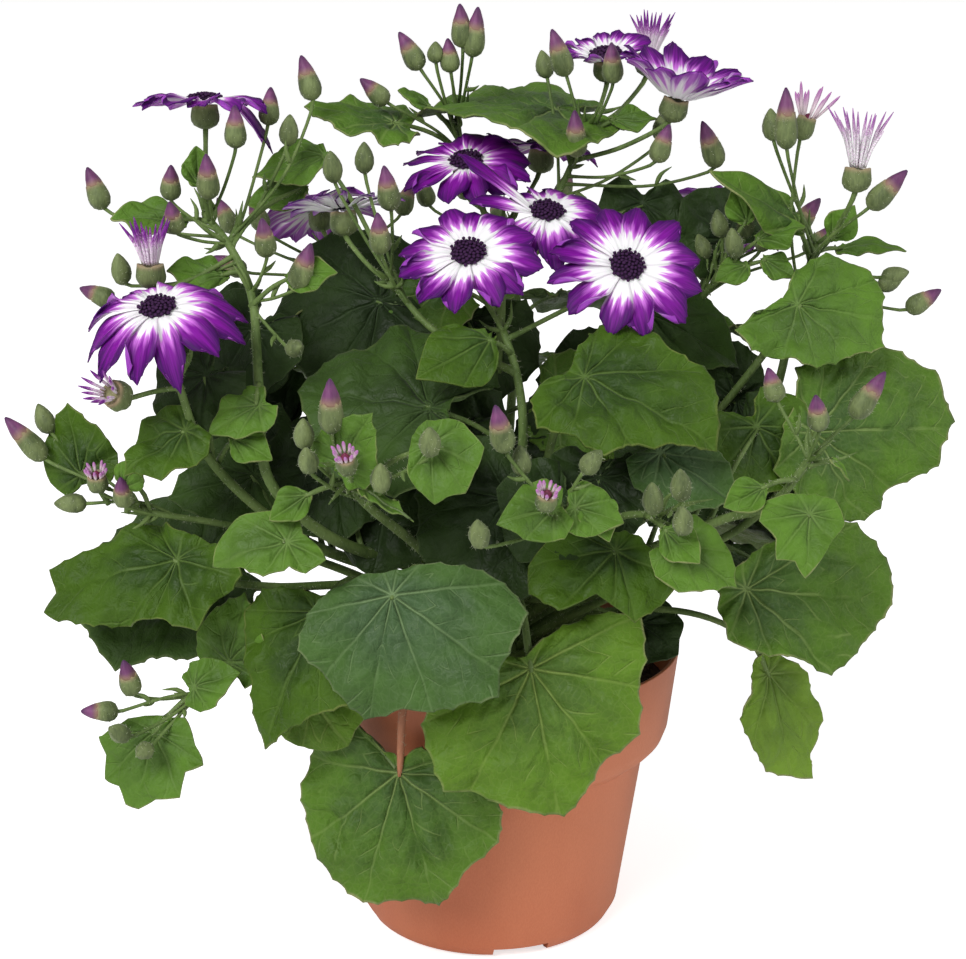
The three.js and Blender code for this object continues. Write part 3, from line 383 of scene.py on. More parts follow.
def any_way(dice, spread=1):
    """A vector that points any way."""
    return Vector([dice.gauss(0, spread) for _ in range(3)])


peat = mottled("peat", PEAT, PEAT_LIGHT, patches=300, grain=1500, relief=0.0006, roughness=0.95)
soil = pulled_up("peat_mound", 96, SOIL_UNDERSIDE + SOIL_EDGE + SOIL_TOP + SOIL_HOLE)
clouds = bpy.data.textures.new("peat_lumps", "CLOUDS")
clouds.noise_scale = 0.012
clouds.noise_depth = 3
lumps = soil.modifiers.new("peat_lumps", "DISPLACE")
lumps.texture = clouds
lumps.texture_coords = "LOCAL"
lumps.strength = SOIL_LUMP
bpy.ops.object.modifier_apply(modifier=lumps.name)

bpy.ops.mesh.primitive_ico_sphere_add(subdivisions=1, radius=1)
crumb_model = model_of(bpy.context.object)
crumb_dice = random.Random("peat crumbs")
crumbs = []
near, far = CRUMB_REACH
top, fall, fallen_at = CRUMB_HEIGHT
for _ in range(CRUMBS):
    distance = near + (far - near) * crumb_dice.random() ** 0.7
    angle = crumb_dice.uniform(-math.pi, math.pi)
    height = top - fall * (distance / fallen_at) ** 2
    size = crumb_dice.uniform(*CRUMB_SIZE)
    place = Matrix.Translation(around(angle, distance, height))
    tumble = Matrix.Rotation(crumb_dice.uniform(0, 6.28), 4, any_way(crumb_dice))
    shape = Matrix.Diagonal((size, size * crumb_dice.uniform(0.5, 0.9),
                             size * crumb_dice.uniform(0.4, 0.8), 1))
    crumbs.append(copied(crumb_model, place @ tumble @ shape, finish=0))
crumb_heap = assembled("peat_crumbs", crumbs, [peat], smooth=False)
soil.data.materials.append(peat)
soil.data.shade_smooth()
for piece in (soil, crumb_heap):
    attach(piece, "root")
    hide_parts("potting_soil")

# ---------------------------------------------------------------- crown
# The short rooted base that every leaf stalk and stem grows from: pale green, ribbed by the
# feet of the stalks, and set a little way into the peat.

CROWN_PROFILE = [
    (0.0085, 0.079), (0.0122, 0.083), (0.013, 0.092), (0.0128, 0.1), (0.0114, 0.107),
    (0.0095, 0.113), (0.007, 0.1175), (0.003, 0.1198),
]
CROWN_RIBS = 11
CROWN_RIB_DEPTH = 0.12           # as a share of the radius
STEM_GREEN = srgb(66, 88, 36)
STEM_PALE = srgb(112, 134, 74)


def ribbed(piece, ribs, depth):
    """Draws in a round form between its ribs."""
    points = points_of(piece)
    angles = np.arctan2(points[:, 1], points[:, 0])
    points[:, :2] *= (1 - depth * (0.5 + 0.5 * np.cos(ribs * angles)))[:, None]
    set_points(piece, points)


stem_skin = mottled("stem_skin", STEM_GREEN, STEM_PALE, patches=90, grain=1400, relief=0.00012,
                    roughness=0.6, stretch=0.3, Specular_IOR_Level=0.3)
crown = pulled_up("crown_base", 66, CROWN_PROFILE)
ribbed(crown, CROWN_RIBS, CROWN_RIB_DEPTH)
crown.data.materials.append(stem_skin)
crown.data.shade_smooth()
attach(crown, "root")
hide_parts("crown")

# ---------------------------------------------------------------- leaves from the crown
# Broad, kidney-shaped leaves on long stalks, one piece each. The blade is soft and blistered
# between sunken palm-like veins, and its margin is scalloped between small pale teeth.

LEAF_THICKNESS = 0.0006
LEAF_RINGS = 24
LEAF_MARGIN = 0.975              # where the pale margin starts, as a share of the way out
TOOTH_SPACING = 0.0062
TOOTH_SAMPLES = 4
TOOTH_BOW = 0.12                 # how far the edge draws in between two teeth
SHORT_RUN_BOW = 0.25             # share of it that is left on an edge too short for teeth
RUN_SWELL = 0.05                 # how far the edge swells between two corners
VEINS = [0, 35, 71, 108, 146, 180]      # degrees either side of the middle vein
VEIN_GAP = math.radians(36)
SIDE_VEIN_SPACING = 0.0078
SIDE_VEIN_SLANT = 1.25           # how steeply the side veins leave the main ones
VEIN_GROOVE = 0.0007
VEIN_WIDTH = 0.0011
QUILT = 0.00048                  # height of the blisters between the side veins
QUILT_FADE = 0.003               # they fade towards a main vein from this near
PILLOW = 0.07                    # swell between two main veins, as a share of the distance out
FRILL = 0.0011                   # waves round the edge of a blade as long as FRILLED_LENGTH
FRILLED_LENGTH = 0.045
FRILL_TURNS = (4, 7, 11)
CRUMPLES = 7                     # shallow waves that cross each other all over a blade
CRUMPLE = 0.0003
CRUMPLE_LENGTHS = (0.007, 0.021)
CRUMPLE_FADE = 0.006             # they fade towards the leaf stalk from this near
LEAF_STALK = (0.0018, 0.0012)
INSIDE_CROWN = 0.004             # how far from the middle of the crown a stalk starts
HAIR = (0.0004, 0.0013)          # shortest and longest
HAIR_THICKNESS = 0.00005
LEAF_STALK_HAIRS = 260

# Leaf outlines: degrees from the tip, and the distance from the leaf stalk as a share of the
# length to the tip. Most of the big leaves have their own outlines, in metres.
BROAD = [
    (-168, 0.16), (-142, 0.58), (-112, 0.74), (-90, 0.76), (-66, 0.90), (-44, 0.84), (-20, 0.94),
    (0, 1), (18, 0.88), (40, 0.93), (62, 0.83), (86, 0.84), (110, 0.70), (140, 0.60), (167, 0.15),
]
CROWN_LEAVES = [
    dict(name="leaf_front_right", root=0.094, at=(0.012, -0.084, 0.12), tip=(0.021, -0.097, 0.076),
         face=(0.08, -0.95, 0.3), via=[(0.004, -0.04, 0.124), (0.009, -0.07, 0.136)], tone="fresh",
         outline=[(-170, 0.004), (-117, 0.012), (-95, 0.026), (-74, 0.037), (-47, 0.045), (-37, 0.041),
                  (-11, 0.043), (2, 0.046), (13, 0.041), (27, 0.037), (48, 0.039), (70, 0.034),
                  (93, 0.036), (106, 0.037), (122, 0.024), (145, 0.01)]),
    dict(name="leaf_front_left", root=0.095, at=(-0.029, -0.092, 0.146), tip=(-0.036, -0.106, 0.114),
         face=(-0.1, -0.9, 0.42), via=[(-0.008, -0.038, 0.114), (-0.022, -0.072, 0.148)], tone="grey",
         outline=[(-150, 0.007), (-106, 0.012), (-83, 0.019), (-67, 0.026), (-49, 0.032), (-29, 0.031),
                  (-3, 0.037), (17, 0.033), (31, 0.036), (58, 0.043), (66, 0.038), (94, 0.04),
                  (108, 0.033), (124, 0.023), (150, 0.012), (172, 0.008)]),
    dict(name="leaf_pot_left", root=0.088, at=(-0.029, -0.068, 0.079), tip=(-0.018, -0.077, 0.037),
         face=(-0.22, -0.96, 0.15), via=[(-0.014, -0.038, 0.108), (-0.026, -0.066, 0.106)], droop=0.04,
         stalk_skin="pink",
         outline=[(-158, 0.008), (-153, 0.023), (-133, 0.029), (-109, 0.031), (-86, 0.035), (-65, 0.039),
                  (-46, 0.042), (-30, 0.044), (-14, 0.042), (1, 0.045), (22, 0.037), (42, 0.038),
                  (57, 0.035), (75, 0.03), (95, 0.018), (125, 0.012), (150, 0.005)]),
    dict(name="leaf_low_left", root=0.094, at=(-0.053, -0.072, 0.134), tip=(-0.072, -0.079, 0.092),
         face=(-0.42, -0.85, 0.32), via=[(-0.022, -0.034, 0.118), (-0.044, -0.06, 0.14)], tone="deep",
         outline=[(-165, 0.005), (-112, 0.01), (-85, 0.021), (-65, 0.026), (-43, 0.029), (-23, 0.031),
                  (-13, 0.04), (0, 0.047), (10, 0.038), (28, 0.031), (46, 0.03), (68, 0.028), (95, 0.021),
                  (138, 0.011)]),
    dict(name="leaf_left", root=0.099, at=(-0.097, -0.06, 0.147), tip=(-0.139, -0.053, 0.135),
         face=(-0.3, -0.75, 0.59),
         via=[(-0.034, -0.026, 0.126), (-0.07, -0.048, 0.134), (-0.088, -0.057, 0.14)], tone="deep",
         droop=0.08,
         outline=[(-159, 0.011), (-113, 0.009), (-62, 0.017), (-38, 0.024), (-18, 0.034), (-9, 0.045),
                  (1, 0.043), (10, 0.046), (17, 0.042), (44, 0.025), (61, 0.02), (100, 0.024),
                  (116, 0.022), (130, 0.02), (154, 0.024), (172, 0.02)]),
    dict(name="leaf_left_under", root=0.094, at=(-0.098, -0.02, 0.134), tip=(-0.143, -0.026, 0.12),
         face=(-0.4, -0.5, 0.77), via=[(-0.034, -0.01, 0.12), (-0.076, -0.02, 0.138)], tone="dark"),
    dict(name="leaf_centre_right", root=0.108, at=(0.028, -0.062, 0.205), tip=(0.043, -0.08, 0.187),
         face=(0.1, -0.66, 0.74), via=[(0.01, -0.014, 0.13), (0.022, -0.044, 0.19)], tone="deep",
         droop=0.06, curl=0.06,
         outline=[(-165, 0.005), (-122, 0.007), (-103, 0.014), (-91, 0.019), (-68, 0.024), (-43, 0.022),
                  (-20, 0.028), (0, 0.027), (22, 0.035), (34, 0.045), (53, 0.041), (71, 0.038),
                  (85, 0.028), (110, 0.028), (135, 0.023), (157, 0.011)]),
    dict(name="leaf_upper_right", root=0.101, at=(0.099, -0.016, 0.219), tip=(0.129, -0.011, 0.213),
         face=(0.25, -0.8, 0.54), via=[(0.03, -0.007, 0.124), (0.082, -0.012, 0.192)], tone="young",
         outline=[(-167, 0.01), (-150, 0.024), (-129, 0.025), (-103, 0.02), (-70, 0.022), (-38, 0.024),
                  (-14, 0.033), (5, 0.03), (27, 0.033), (43, 0.028), (65, 0.023), (92, 0.013),
                  (125, 0.006), (160, 0.005)]),
    dict(name="leaf_right", root=0.096, at=(0.104, -0.026, 0.179), tip=(0.156, -0.005, 0.176),
         face=(0.35, -0.83, 0.43), via=[(0.032, -0.013, 0.118), (0.086, -0.03, 0.152)], droop=0.06,
         outline=[(-171, 0.013), (-144, 0.02), (-111, 0.025), (-81, 0.029), (-65, 0.033), (-34, 0.034),
                  (-17, 0.046), (-9, 0.049), (2, 0.057), (13, 0.055), (21, 0.056), (41, 0.044),
                  (68, 0.029), (98, 0.022), (130, 0.01)]),
    dict(name="leaf_low_right", root=0.093, at=(0.08, -0.056, 0.136), tip=(0.129, -0.048, 0.13),
         face=(0.2, -0.8, 0.56), via=[(0.03, -0.022, 0.117), (0.064, -0.044, 0.138)], droop=0.08,
         outline=[(-170, 0.01), (-145, 0.011), (-111, 0.017), (-89, 0.02), (-53, 0.027), (-41, 0.038),
                  (-19, 0.042), (-1, 0.05), (17, 0.052), (33, 0.046), (44, 0.034), (65, 0.018),
                  (100, 0.008), (150, 0.009)]),
    dict(name="leaf_hanging_right", root=0.09, at=(0.093, -0.026, 0.096), tip=(0.104, -0.03, 0.058),
         face=(0.3, -0.93, 0.2),
         via=[(0.03, -0.014, 0.112), (0.066, -0.024, 0.117), (0.086, -0.026, 0.108)], tone="lime",
         stalk=(0.0015, 0.0009),
         outline=[(-163, 0.008), (-100, 0.006), (-69, 0.008), (-50, 0.018), (-27, 0.026), (-15, 0.034),
                  (2, 0.039), (11, 0.043), (15, 0.034), (26, 0.03), (44, 0.022), (73, 0.014),
                  (118, 0.008), (160, 0.007)]),
    dict(name="leaf_centre_low", root=0.092, at=(0.037, -0.08, 0.156), tip=(0.019, -0.093, 0.141),
         face=(0.1, -0.82, 0.56), via=[(0.022, -0.03, 0.108), (0.046, -0.06, 0.13)], tone="deep",
         outline=[(-150, 0.006), (-94, 0.008), (-71, 0.018), (-53, 0.021), (-38, 0.026), (-20, 0.029),
                  (0, 0.026), (8, 0.02), (18, 0.015), (42, 0.017), (58, 0.022), (84, 0.021), (109, 0.021),
                  (124, 0.016), (146, 0.01), (175, 0.008)]),
    dict(name="leaf_back_left", root=0.094, at=(-0.066, 0.06, 0.134), tip=(-0.106, 0.086, 0.112),
         face=(-0.5, 0.5, 0.7), via=[(-0.026, 0.024, 0.122), (-0.052, 0.048, 0.142)]),
    dict(name="leaf_back", root=0.09, at=(0.002, 0.078, 0.11), tip=(0.006, 0.114, 0.082),
         face=(0.05, 0.72, 0.7), via=[(0.001, 0.034, 0.112), (0.002, 0.062, 0.122)], tone="dark"),
    dict(name="leaf_back_right", root=0.094, at=(0.068, 0.058, 0.132), tip=(0.108, 0.084, 0.11),
         face=(0.5, 0.55, 0.66), via=[(0.028, 0.022, 0.122), (0.054, 0.046, 0.142)]),
    dict(name="leaf_right_rear", root=0.096, at=(0.092, 0.014, 0.124), tip=(0.14, 0.024, 0.11),
         face=(0.5, 0.15, 0.85), via=[(0.034, 0.008, 0.116), (0.072, 0.012, 0.131)], tone="dark"),
]


def frame_at(origin, ahead, face):
    """A frame at a point: x along `ahead`, z as near to `face` as a right angle allows."""
    x = ahead.normalized()
    z = (face - face.dot(x) * x).normalized()
    return Matrix.Translation(origin) @ Matrix((x, z.cross(x), z)).transposed().to_4x4()


def smooth_path(points, count):
    """Evenly spaced points on a smooth curve through the given ones."""
    given = [Vector(point) for point in points]
    ends = [2 * given[0] - given[1], *given, 2 * given[-1] - given[-2]]
    dense = []
    for before, a, b, after in zip(ends, ends[1:], ends[2:], ends[3:]):
        back, span, on = [max((q - p).length, 1e-6) ** 0.5
                          for p, q in ((before, a), (a, b), (b, after))]
        leave = ((a - before) / back - (b - before) / (back + span) + (b - a) / span) * span
        arrive = ((b - a) / span - (after - a) / (span + on) + (after - b) / on) * span
        dense.extend(interpolate_bezier(a, a + leave / 3, b - arrive / 3, b, 24))
    rows = np.array(dense)
    along = np.concatenate([[0], np.cumsum(np.linalg.norm(np.diff(rows, axis=0), axis=1))])
    wanted = np.linspace(0, along[-1], count + 1)
    return [Vector([np.interp(where, along, rows[:, axis]) for axis in range(3)])
            for where in wanted]


def toothed(corners, dice):
    """A leaf's edge from its corners: straight runs, drawn in between small teeth."""
    rim = [Vector((r * math.cos(math.radians(a)), r * math.sin(math.radians(a))))
           for a, r in corners]
    edge = []
    for i, start in enumerate(rim):
        end = rim[(i + 1) % len(rim)]
        across_notch = i == len(rim) - 1
        run = end - start
        outward = Vector((run.y, -run.x)).normalized()
        teeth = 1 if across_notch else max(1, round(run.length / TOOTH_SPACING))
        cusps = [0.0, *((n + dice.uniform(-0.2, 0.2)) / teeth for n in range(1, teeth)), 1.0]
        for low, high in zip(cusps, cusps[1:]):
            chord = (high - low) * run.length
            bow = 0 if across_notch else TOOTH_BOW * dice.uniform(0.6, 1.3) * chord
            if teeth == 1:
                bow *= SHORT_RUN_BOW
            for n in range(TOOTH_SAMPLES):
                t = n / TOOTH_SAMPLES
                share = low + (high - low) * t
                swell = RUN_SWELL * run.length * 4 * share * (1 - share)
                edge.append(start + run * share + outward * (swell - bow * (4 * t * (1 - t)) ** 0.7))
    return edge


def vein_places(corners):
    """Where the main veins run on each side: to the outline corner nearest the usual angle."""
    sides = []
    for sign in (1, -1):
        angles = [sign * a for a, _ in corners if sign * a > 8]
        near = [min(angles, key=lambda a: abs(a - usual)) for usual in VEINS[1:-1]]
        own = [a if abs(a - usual) < 15 else usual for a, usual in zip(near, VEINS[1:-1])]
        sides.append([0, *sorted(own), 180])
    return sides


def merge():
    """Merges the doubled points of the piece in hand."""
    bpy.ops.object.mode_set(mode="EDIT")
    bpy.ops.mesh.select_all(action="SELECT")
    bpy.ops.mesh.remove_doubles(threshold=1e-6)
    bpy.ops.object.mode_set(mode="OBJECT")


def thin_wall(piece, thickness):
    """Gives a sheet its thickness downwards, with the next finish on the underside."""
    bpy.context.view_layer.objects.active = piece
    wall = piece.modifiers.new("wall", "SOLIDIFY")
    wall.thickness = thickness
    wall.offset = -1
    wall.material_offset = 1
    bpy.ops.object.modifier_apply(modifier=wall.name)


def leaf_blade(name, leaf, skin, rings=LEAF_RINGS):
    """A leaf's blade with its relief, marked for its veins, and where its stalk joins it."""
    at, tip, face = (Vector(leaf[key]) for key in ("at", "tip", "face"))
    corners = leaf.get("outline", BROAD)
    length = (tip - at).length
    if max(radius for _, radius in corners) > 0.5:
        corners = [(angle, radius * length) for angle, radius in corners]
    droop, curl, wave = leaf.get("droop", 0.12), leaf.get("curl", 0.1), leaf.get("wave", 0.05)
    dice = random.Random(name)
    edge = toothed(corners, dice)
    bpy.ops.object.select_all(action="DESELECT")
    bpy.ops.mesh.primitive_grid_add(x_subdivisions=len(edge), y_subdivisions=rings, size=1)
    piece = bpy.context.object
    piece.name = name
    flat = points_of(piece)
    spokes = np.rint((0.5 - flat[:, 0]) * len(edge)).astype(int) % len(edge)
    rows = flat[:, 1] + 0.5
    out = np.where(rows < 0.999 - 1 / rings, rows * LEAF_MARGIN / (1 - 1 / rings), 1.0)
    out = np.where(np.isclose(rows, 1 - 1 / rings, atol=1e-4), LEAF_MARGIN, out)
    rim = np.array(edge)[spokes]
    x, y = rim[:, 0] * out, rim[:, 1] * out
    angle, reach = np.arctan2(y, x), np.hypot(x, y)
    whole = np.hypot(rim[:, 0], rim[:, 1])
    degrees = np.degrees(np.arctan2(rim[:, 1], rim[:, 0]))
    left, right = vein_places(corners)
    steps = range(len(VEINS))
    phase = np.where(degrees > 0, np.interp(degrees, left, steps), np.interp(-degrees, right, steps))
    off = np.abs((phase + 0.5) % 1 - 0.5)
    from_vein = reach * off * VEIN_GAP
    ripple = wave * (reach / length) ** 2 * np.sin(3 * angle + 1000 * (at.x + at.y))
    sag = droop * (x / length) ** 2 + curl * (y / length) ** 2
    groove = VEIN_GROOVE * np.exp(-(from_vein / VEIN_WIDTH) ** 2) * (1 - 0.6 * reach / whole.max())
    beside = reach - SIDE_VEIN_SLANT * from_vein
    quilt = QUILT * np.cos(2 * np.pi * beside / SIDE_VEIN_SPACING + np.pi)
    quilt *= np.minimum(1, from_vein / QUILT_FADE) * (1 - out ** 6)
    size = length / FRILLED_LENGTH
    frill = sum(FRILL * size * out ** 4 * np.sin(turns * angle + dice.uniform(0, 6))
                for turns in FRILL_TURNS)
    pillow = PILLOW * reach * np.sin(np.pi * off) * (1 - 0.5 * out)
    crumple = 0
    for _ in range(CRUMPLES):
        heading, wave_length = dice.uniform(0, math.pi), dice.uniform(*CRUMPLE_LENGTHS)
        run = (x * math.cos(heading) + y * math.sin(heading)) / wave_length
        crumple = crumple + CRUMPLE * np.sin(2 * math.pi * run + dice.uniform(0, 6))
    crumple = crumple * np.minimum(1, reach / CRUMPLE_FADE)
    z = length * (ripple - sag) - groove + quilt + frill + pillow + crumple
    frame_here = frame_at(at, tip - at, face)
    set_points(piece, np.column_stack([x, y, z]) @ np.array(frame_here.to_3x3()).T + np.array(at))
    for mark, values in (("vein", phase), ("edge", out), ("reach", reach)):
        set_mark(piece.data, mark, values)
    merge()
    piece.data.materials.append(skin)
    piece.data.materials.append(LEAF_UNDERSIDE)
    thin_wall(piece, LEAF_THICKNESS)
    piece.data.shade_smooth()
    return piece, frame_here @ Vector((0.001, 0, -LEAF_THICKNESS / 2))


# One hair: a thin three-sided spike along z.
HAIR_MODEL = dict(
    points=np.array([*((math.cos(a), math.sin(a), 0) for a in (0, 2.094, 4.189)), (0, 0, 1)]),
    faces=[[0, 2, 1], [0, 1, 3], [1, 2, 3], [2, 0, 3]], finish=[0] * 4, marks={})


def sized(radius, length):
    """Gives a form of one unit its own radius and length."""
    return Matrix.Diagonal((radius, radius, length, 1))


def fuzz(name, piece, count):
    """Fine hairs that stand out from a piece's faces, as a piece of their own."""
    faces = list(piece.data.polygons)
    areas = np.cumsum([face.area for face in faces])
    dice = random.Random(name)
    hairs = []
    for _ in range(count):
        face = faces[int(np.searchsorted(areas, dice.random() * areas[-1]))]
        spin = (face.normal + any_way(dice, 0.45)).to_track_quat("Z", "Y").to_matrix().to_4x4()
        long = dice.uniform(*HAIR)
        corner = piece.data.vertices[dice.choice(list(face.vertices))].co
        root = face.center.lerp(corner, dice.random() * 0.8)
        hairs.append(copied(HAIR_MODEL, Matrix.Translation(root) @ spin
                            @ sized(HAIR_THICKNESS, long)))
    return assembled(name, hairs, [HAIR_FINISH], smooth=False)


def sweep(name, runs, section, skin):
    """A round form swept along each run of (place, radius), with closed ends."""
    line = bpy.data.curves.new(name, "CURVE")
    line.dimensions = "3D"
    line.bevel_mode = "OBJECT"
    line.bevel_object = section
    line.use_fill_caps = True
    for run in runs:
        spline = line.splines.new("POLY")
        spline.points.add(len(run) - 1)
        for point, (place, radius) in zip(spline.points, run):
            point.co = (*place, 1)
            point.radius = radius
    holder = bpy.data.objects.new(name, line)
    bpy.context.collection.objects.link(holder)
    bpy.ops.object.select_all(action="DESELECT")
    holder.select_set(True)
    bpy.context.view_layer.objects.active = holder
    bpy.ops.object.convert(target="MESH")
    piece = bpy.context.object
    merge()
    bpy.ops.object.mode_set(mode="EDIT")
    bpy.ops.mesh.normals_make_consistent(inside=False)
    bpy.ops.object.mode_set(mode="OBJECT")
    piece.data.shade_smooth()
    piece.data.materials.clear()
    piece.data.materials.append(skin)
    return piece


def stalk_section(name, corners, ribs):
    """The cross section of a stalk, one unit in radius and lightly ribbed."""
    bpy.ops.curve.primitive_nurbs_circle_add(radius=1)
    section = bpy.context.object
    section.name = name
    section.data.splines.clear()
    spline = section.data.splines.new("POLY")
    spline.points.add(corners - 1)
    spline.use_cyclic_u = True
    for i, point in enumerate(spline.points):
        angle = 2 * math.pi * i / corners
        radius = 1 - 0.07 * (0.5 - 0.5 * math.cos(ribs * angle))
        point.co = (radius * math.cos(angle), radius * math.sin(angle), 0, 1)
    section.hide_render = True
    section.hide_viewport = True
    return section


def joined(name, *pieces):
    """Joins pieces into the first one's object."""
    bpy.ops.object.select_all(action="DESELECT")
    for piece in pieces:
        piece.select_set(True)
    bpy.context.view_layer.objects.active = pieces[0]
    bpy.ops.object.join()
    pieces[0].name = name
    return pieces[0]


def marks_of(tree, *marks):
    """The marks that a piece's points carry, as shader values."""
    return [node(tree, "Attribute", attribute_name=mark).outputs["Fac"] for mark in marks]


def leaf_effect():
    """Leaf veins from the marks on a blade: main veins at whole numbers of "vein", side veins
    that leave them at an angle, and a fine net between."""
    tree, given, out = new_group("leaf_net", {"Net": 0.3},
                                 ["Veins", "Height", "Edge", "Margin", "Cloud"])
    place = node(tree, "TexCoord").outputs["Object"]
    phase, edge, reach = marks_of(tree, "vein", "edge", "reach")
    sway = reckon(tree, "SUBTRACT", noise(tree, place, 60.0, 2.0), 0.5)
    off = reckon(tree, "PINGPONG", reckon(tree, "MULTIPLY_ADD", sway, 0.2, phase), 0.5)
    aside = reckon(tree, "MULTIPLY", reckon(tree, "MULTIPLY", reach, off), VEIN_GAP)
    beside = reckon(tree, "MULTIPLY_ADD", aside, -SIDE_VEIN_SLANT,
                    reckon(tree, "MULTIPLY_ADD", sway, 0.011, reach))
    side = reckon(tree, "PINGPONG", beside, SIDE_VEIN_SPACING / 2)
    main_line = reckon(tree, "MULTIPLY", ramp(tree, aside, 0.0001, 0.00075, 1, 0),
                       ramp(tree, edge, 0.05, 0.8, 0.9, 0.35))
    faint = ramp(tree, noise(tree, place, 110.0, 1.0), 0.42, 0.62)
    side_line = reckon(tree, "MULTIPLY", ramp(tree, side, 0.0001, 0.0006, 0.5, 0), faint)
    cells = node(tree, "TexVoronoi", {"Vector": place, "Scale": 420.0},
                 feature="DISTANCE_TO_EDGE").outputs[0]
    net_line = reckon(tree, "MULTIPLY", ramp(tree, cells, 0.0, 0.14, 1, 0), given["Net"])
    lines = reckon(tree, "MAXIMUM", main_line, reckon(tree, "MAXIMUM", side_line, net_line))
    crinkle = noise(tree, place, 190.0, 3.0, distortion=0.6)
    results = {
        "Veins": lines, "Edge": edge, "Margin": ramp(tree, edge, LEAF_MARGIN, 0.995),
        "Height": reckon(tree, "MULTIPLY_ADD", crinkle, 1.6, reckon(tree, "MULTIPLY", lines, -0.5)),
        "Cloud": noise(tree, place, 75.0, 5.0),
    }
    for title, value in results.items():
        tree.links.new(value, out.inputs[title])
    return tree


LEAF_NET = leaf_effect()


def leaf_finish(name, inner, outer, vein, margin, net=0.12, vein_share=0.56):
    """The skin of a leaf: one colour at the stalk, another outside, paler veins and margin."""
    material, tree, shader = surface(name, 0.56, Sheen_Weight=0.03, Sheen_Roughness=0.4,
                                     Specular_IOR_Level=0.22)
    effect = node(tree, "Group", {"Net": net}, node_tree=LEAF_NET).outputs
    spread = reckon(tree, "MULTIPLY_ADD", effect["Cloud"], 0.9,
                    reckon(tree, "SUBTRACT", effect["Edge"], 0.45))
    colour = between(tree, ramp(tree, spread, 0.15, 0.95), inner, outer)
    shade = ramp(tree, effect["Cloud"], 0.3, 0.7, 0.86, 1.1)
    colour = node(tree, "HueSaturation", {"Value": shade, "Color": colour}).outputs[0]
    line = reckon(tree, "MULTIPLY", effect["Veins"], vein_share)
    colour = between(tree, line, colour, vein)
    brim = reckon(tree, "MULTIPLY", effect["Margin"],
                  ramp(tree, effect["Cloud"], 0.35, 0.65, 0.1, 0.65))
    colour = between(tree, brim, colour, margin)
    coloured(tree, shader, colour, effect["Height"], LEAF_RELIEF)
    tree.links.new(ramp(tree, effect["Cloud"], 0.3, 0.7, 0.48, 0.66), shader.inputs["Roughness"])
    return material


LEAF_RELIEF = 0.0009
VEIN_COLOUR = srgb(144, 164, 96)
MARGIN_COLOUR = srgb(150, 150, 104)
LEAF_SKINS = {
    "green": leaf_finish("leaf_green", srgb(62, 90, 38), srgb(78, 112, 30), VEIN_COLOUR,
                         MARGIN_COLOUR),
    "grey": leaf_finish("leaf_grey_green", srgb(66, 92, 56), srgb(64, 94, 40),
                        srgb(126, 150, 102), srgb(120, 134, 92), vein_share=0.6),
    "fresh": leaf_finish("leaf_fresh_green", srgb(76, 106, 38), srgb(86, 120, 28),
                         srgb(148, 168, 88), MARGIN_COLOUR),
    "deep": leaf_finish("leaf_deep_green", srgb(44, 69, 20), srgb(62, 92, 12),
                        srgb(106, 132, 62), srgb(118, 128, 66), vein_share=0.5),
    # Darker green for leaves under, behind and inside the plant: partly their own deeper colour,
    # partly painted shade from the leaves that cover them.
    "dark": leaf_finish("leaf_dark_green", srgb(46, 66, 28), srgb(54, 80, 26),
                        srgb(80, 104, 56), srgb(96, 112, 64), vein_share=0.35),
    # Painted shade: this near-black green stands in for the shadow that falls deep inside the plant.
    "shade": leaf_finish("leaf_shade_green", srgb(32, 48, 21), srgb(40, 60, 20),
                         srgb(62, 84, 44), srgb(70, 86, 48), vein_share=0.3),
    "lime": leaf_finish("leaf_lime_green", srgb(90, 118, 42), srgb(106, 138, 42),
                        srgb(140, 160, 90), MARGIN_COLOUR, vein_share=0.4),
    "young": leaf_finish("leaf_young_green", srgb(74, 104, 40), srgb(84, 120, 36),
                         srgb(124, 150, 82), MARGIN_COLOUR, vein_share=0.4),
}
LEAF_UNDERSIDE = leaf_finish("leaf_underside", srgb(92, 110, 68), srgb(84, 106, 58),
                             srgb(128, 146, 98), srgb(130, 124, 100), net=0.3)
HAIR_FINISH, _, _ = surface("pale_hair", 0.5, Base_Color=srgb(190, 196, 164),
                            Sheen_Weight=0.3)
STALK_SKINS = {
    "green": stem_skin,
    "pink": mottled("pink_stalk_skin", srgb(150, 92, 62), srgb(186, 124, 90), patches=90,
                    grain=1400, relief=0.00012, roughness=0.6, stretch=0.3),
}
STALK_SECTION = stalk_section("leaf_stalk_section", 10, 5)


def in_crown(towards, root):
    """Where a stalk starts inside the crown, on the side of its first point."""
    side = Vector((towards[0], towards[1], 0)).normalized()
    return side * INSIDE_CROWN + Vector((0, 0, root))


def tapered(path, ends, foot, top=()):
    """A path's places with their radii, which run from one end's to the other's. foot and top
    give the first and the last few instead, as shares of that end's."""
    thick, thin = ends
    radii = [thick + (thin - thick) * i / (len(path) - 1) for i in range(len(path))]
    radii[:len(foot)] = [thick * share for share in foot]
    radii[len(path) - len(top):] = [thin * share for share in top]
    return list(zip(path, radii))


for leaf in CROWN_LEAVES:
    name = leaf["name"]
    blade, join = leaf_blade(name + "_blade", leaf, LEAF_SKINS[leaf.get("tone", "green")])
    path = smooth_path([in_crown(leaf["via"][0], leaf["root"]), *leaf["via"], join], 30)
    run = tapered(path, leaf.get("stalk", LEAF_STALK), (1.3, 1.15), (0.85, 0.45))
    leaf_stalk = sweep(name + "_stalk", [run], STALK_SECTION,
                       STALK_SKINS[leaf.get("stalk_skin", "green")])
    hairs = fuzz(name + "_hairs", leaf_stalk, LEAF_STALK_HAIRS)
    whole = joined(name + "_leaf", blade, leaf_stalk, hairs)
    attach(whole, "root")
    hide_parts(name)

# ---------------------------------------------------------------- flowering stems
# Each stem is one growth: a ribbed, hairy main stem, its side stalks, the green cups of
# overlapping bracts (involucres) round its buds and under its flowers, and small leaves.

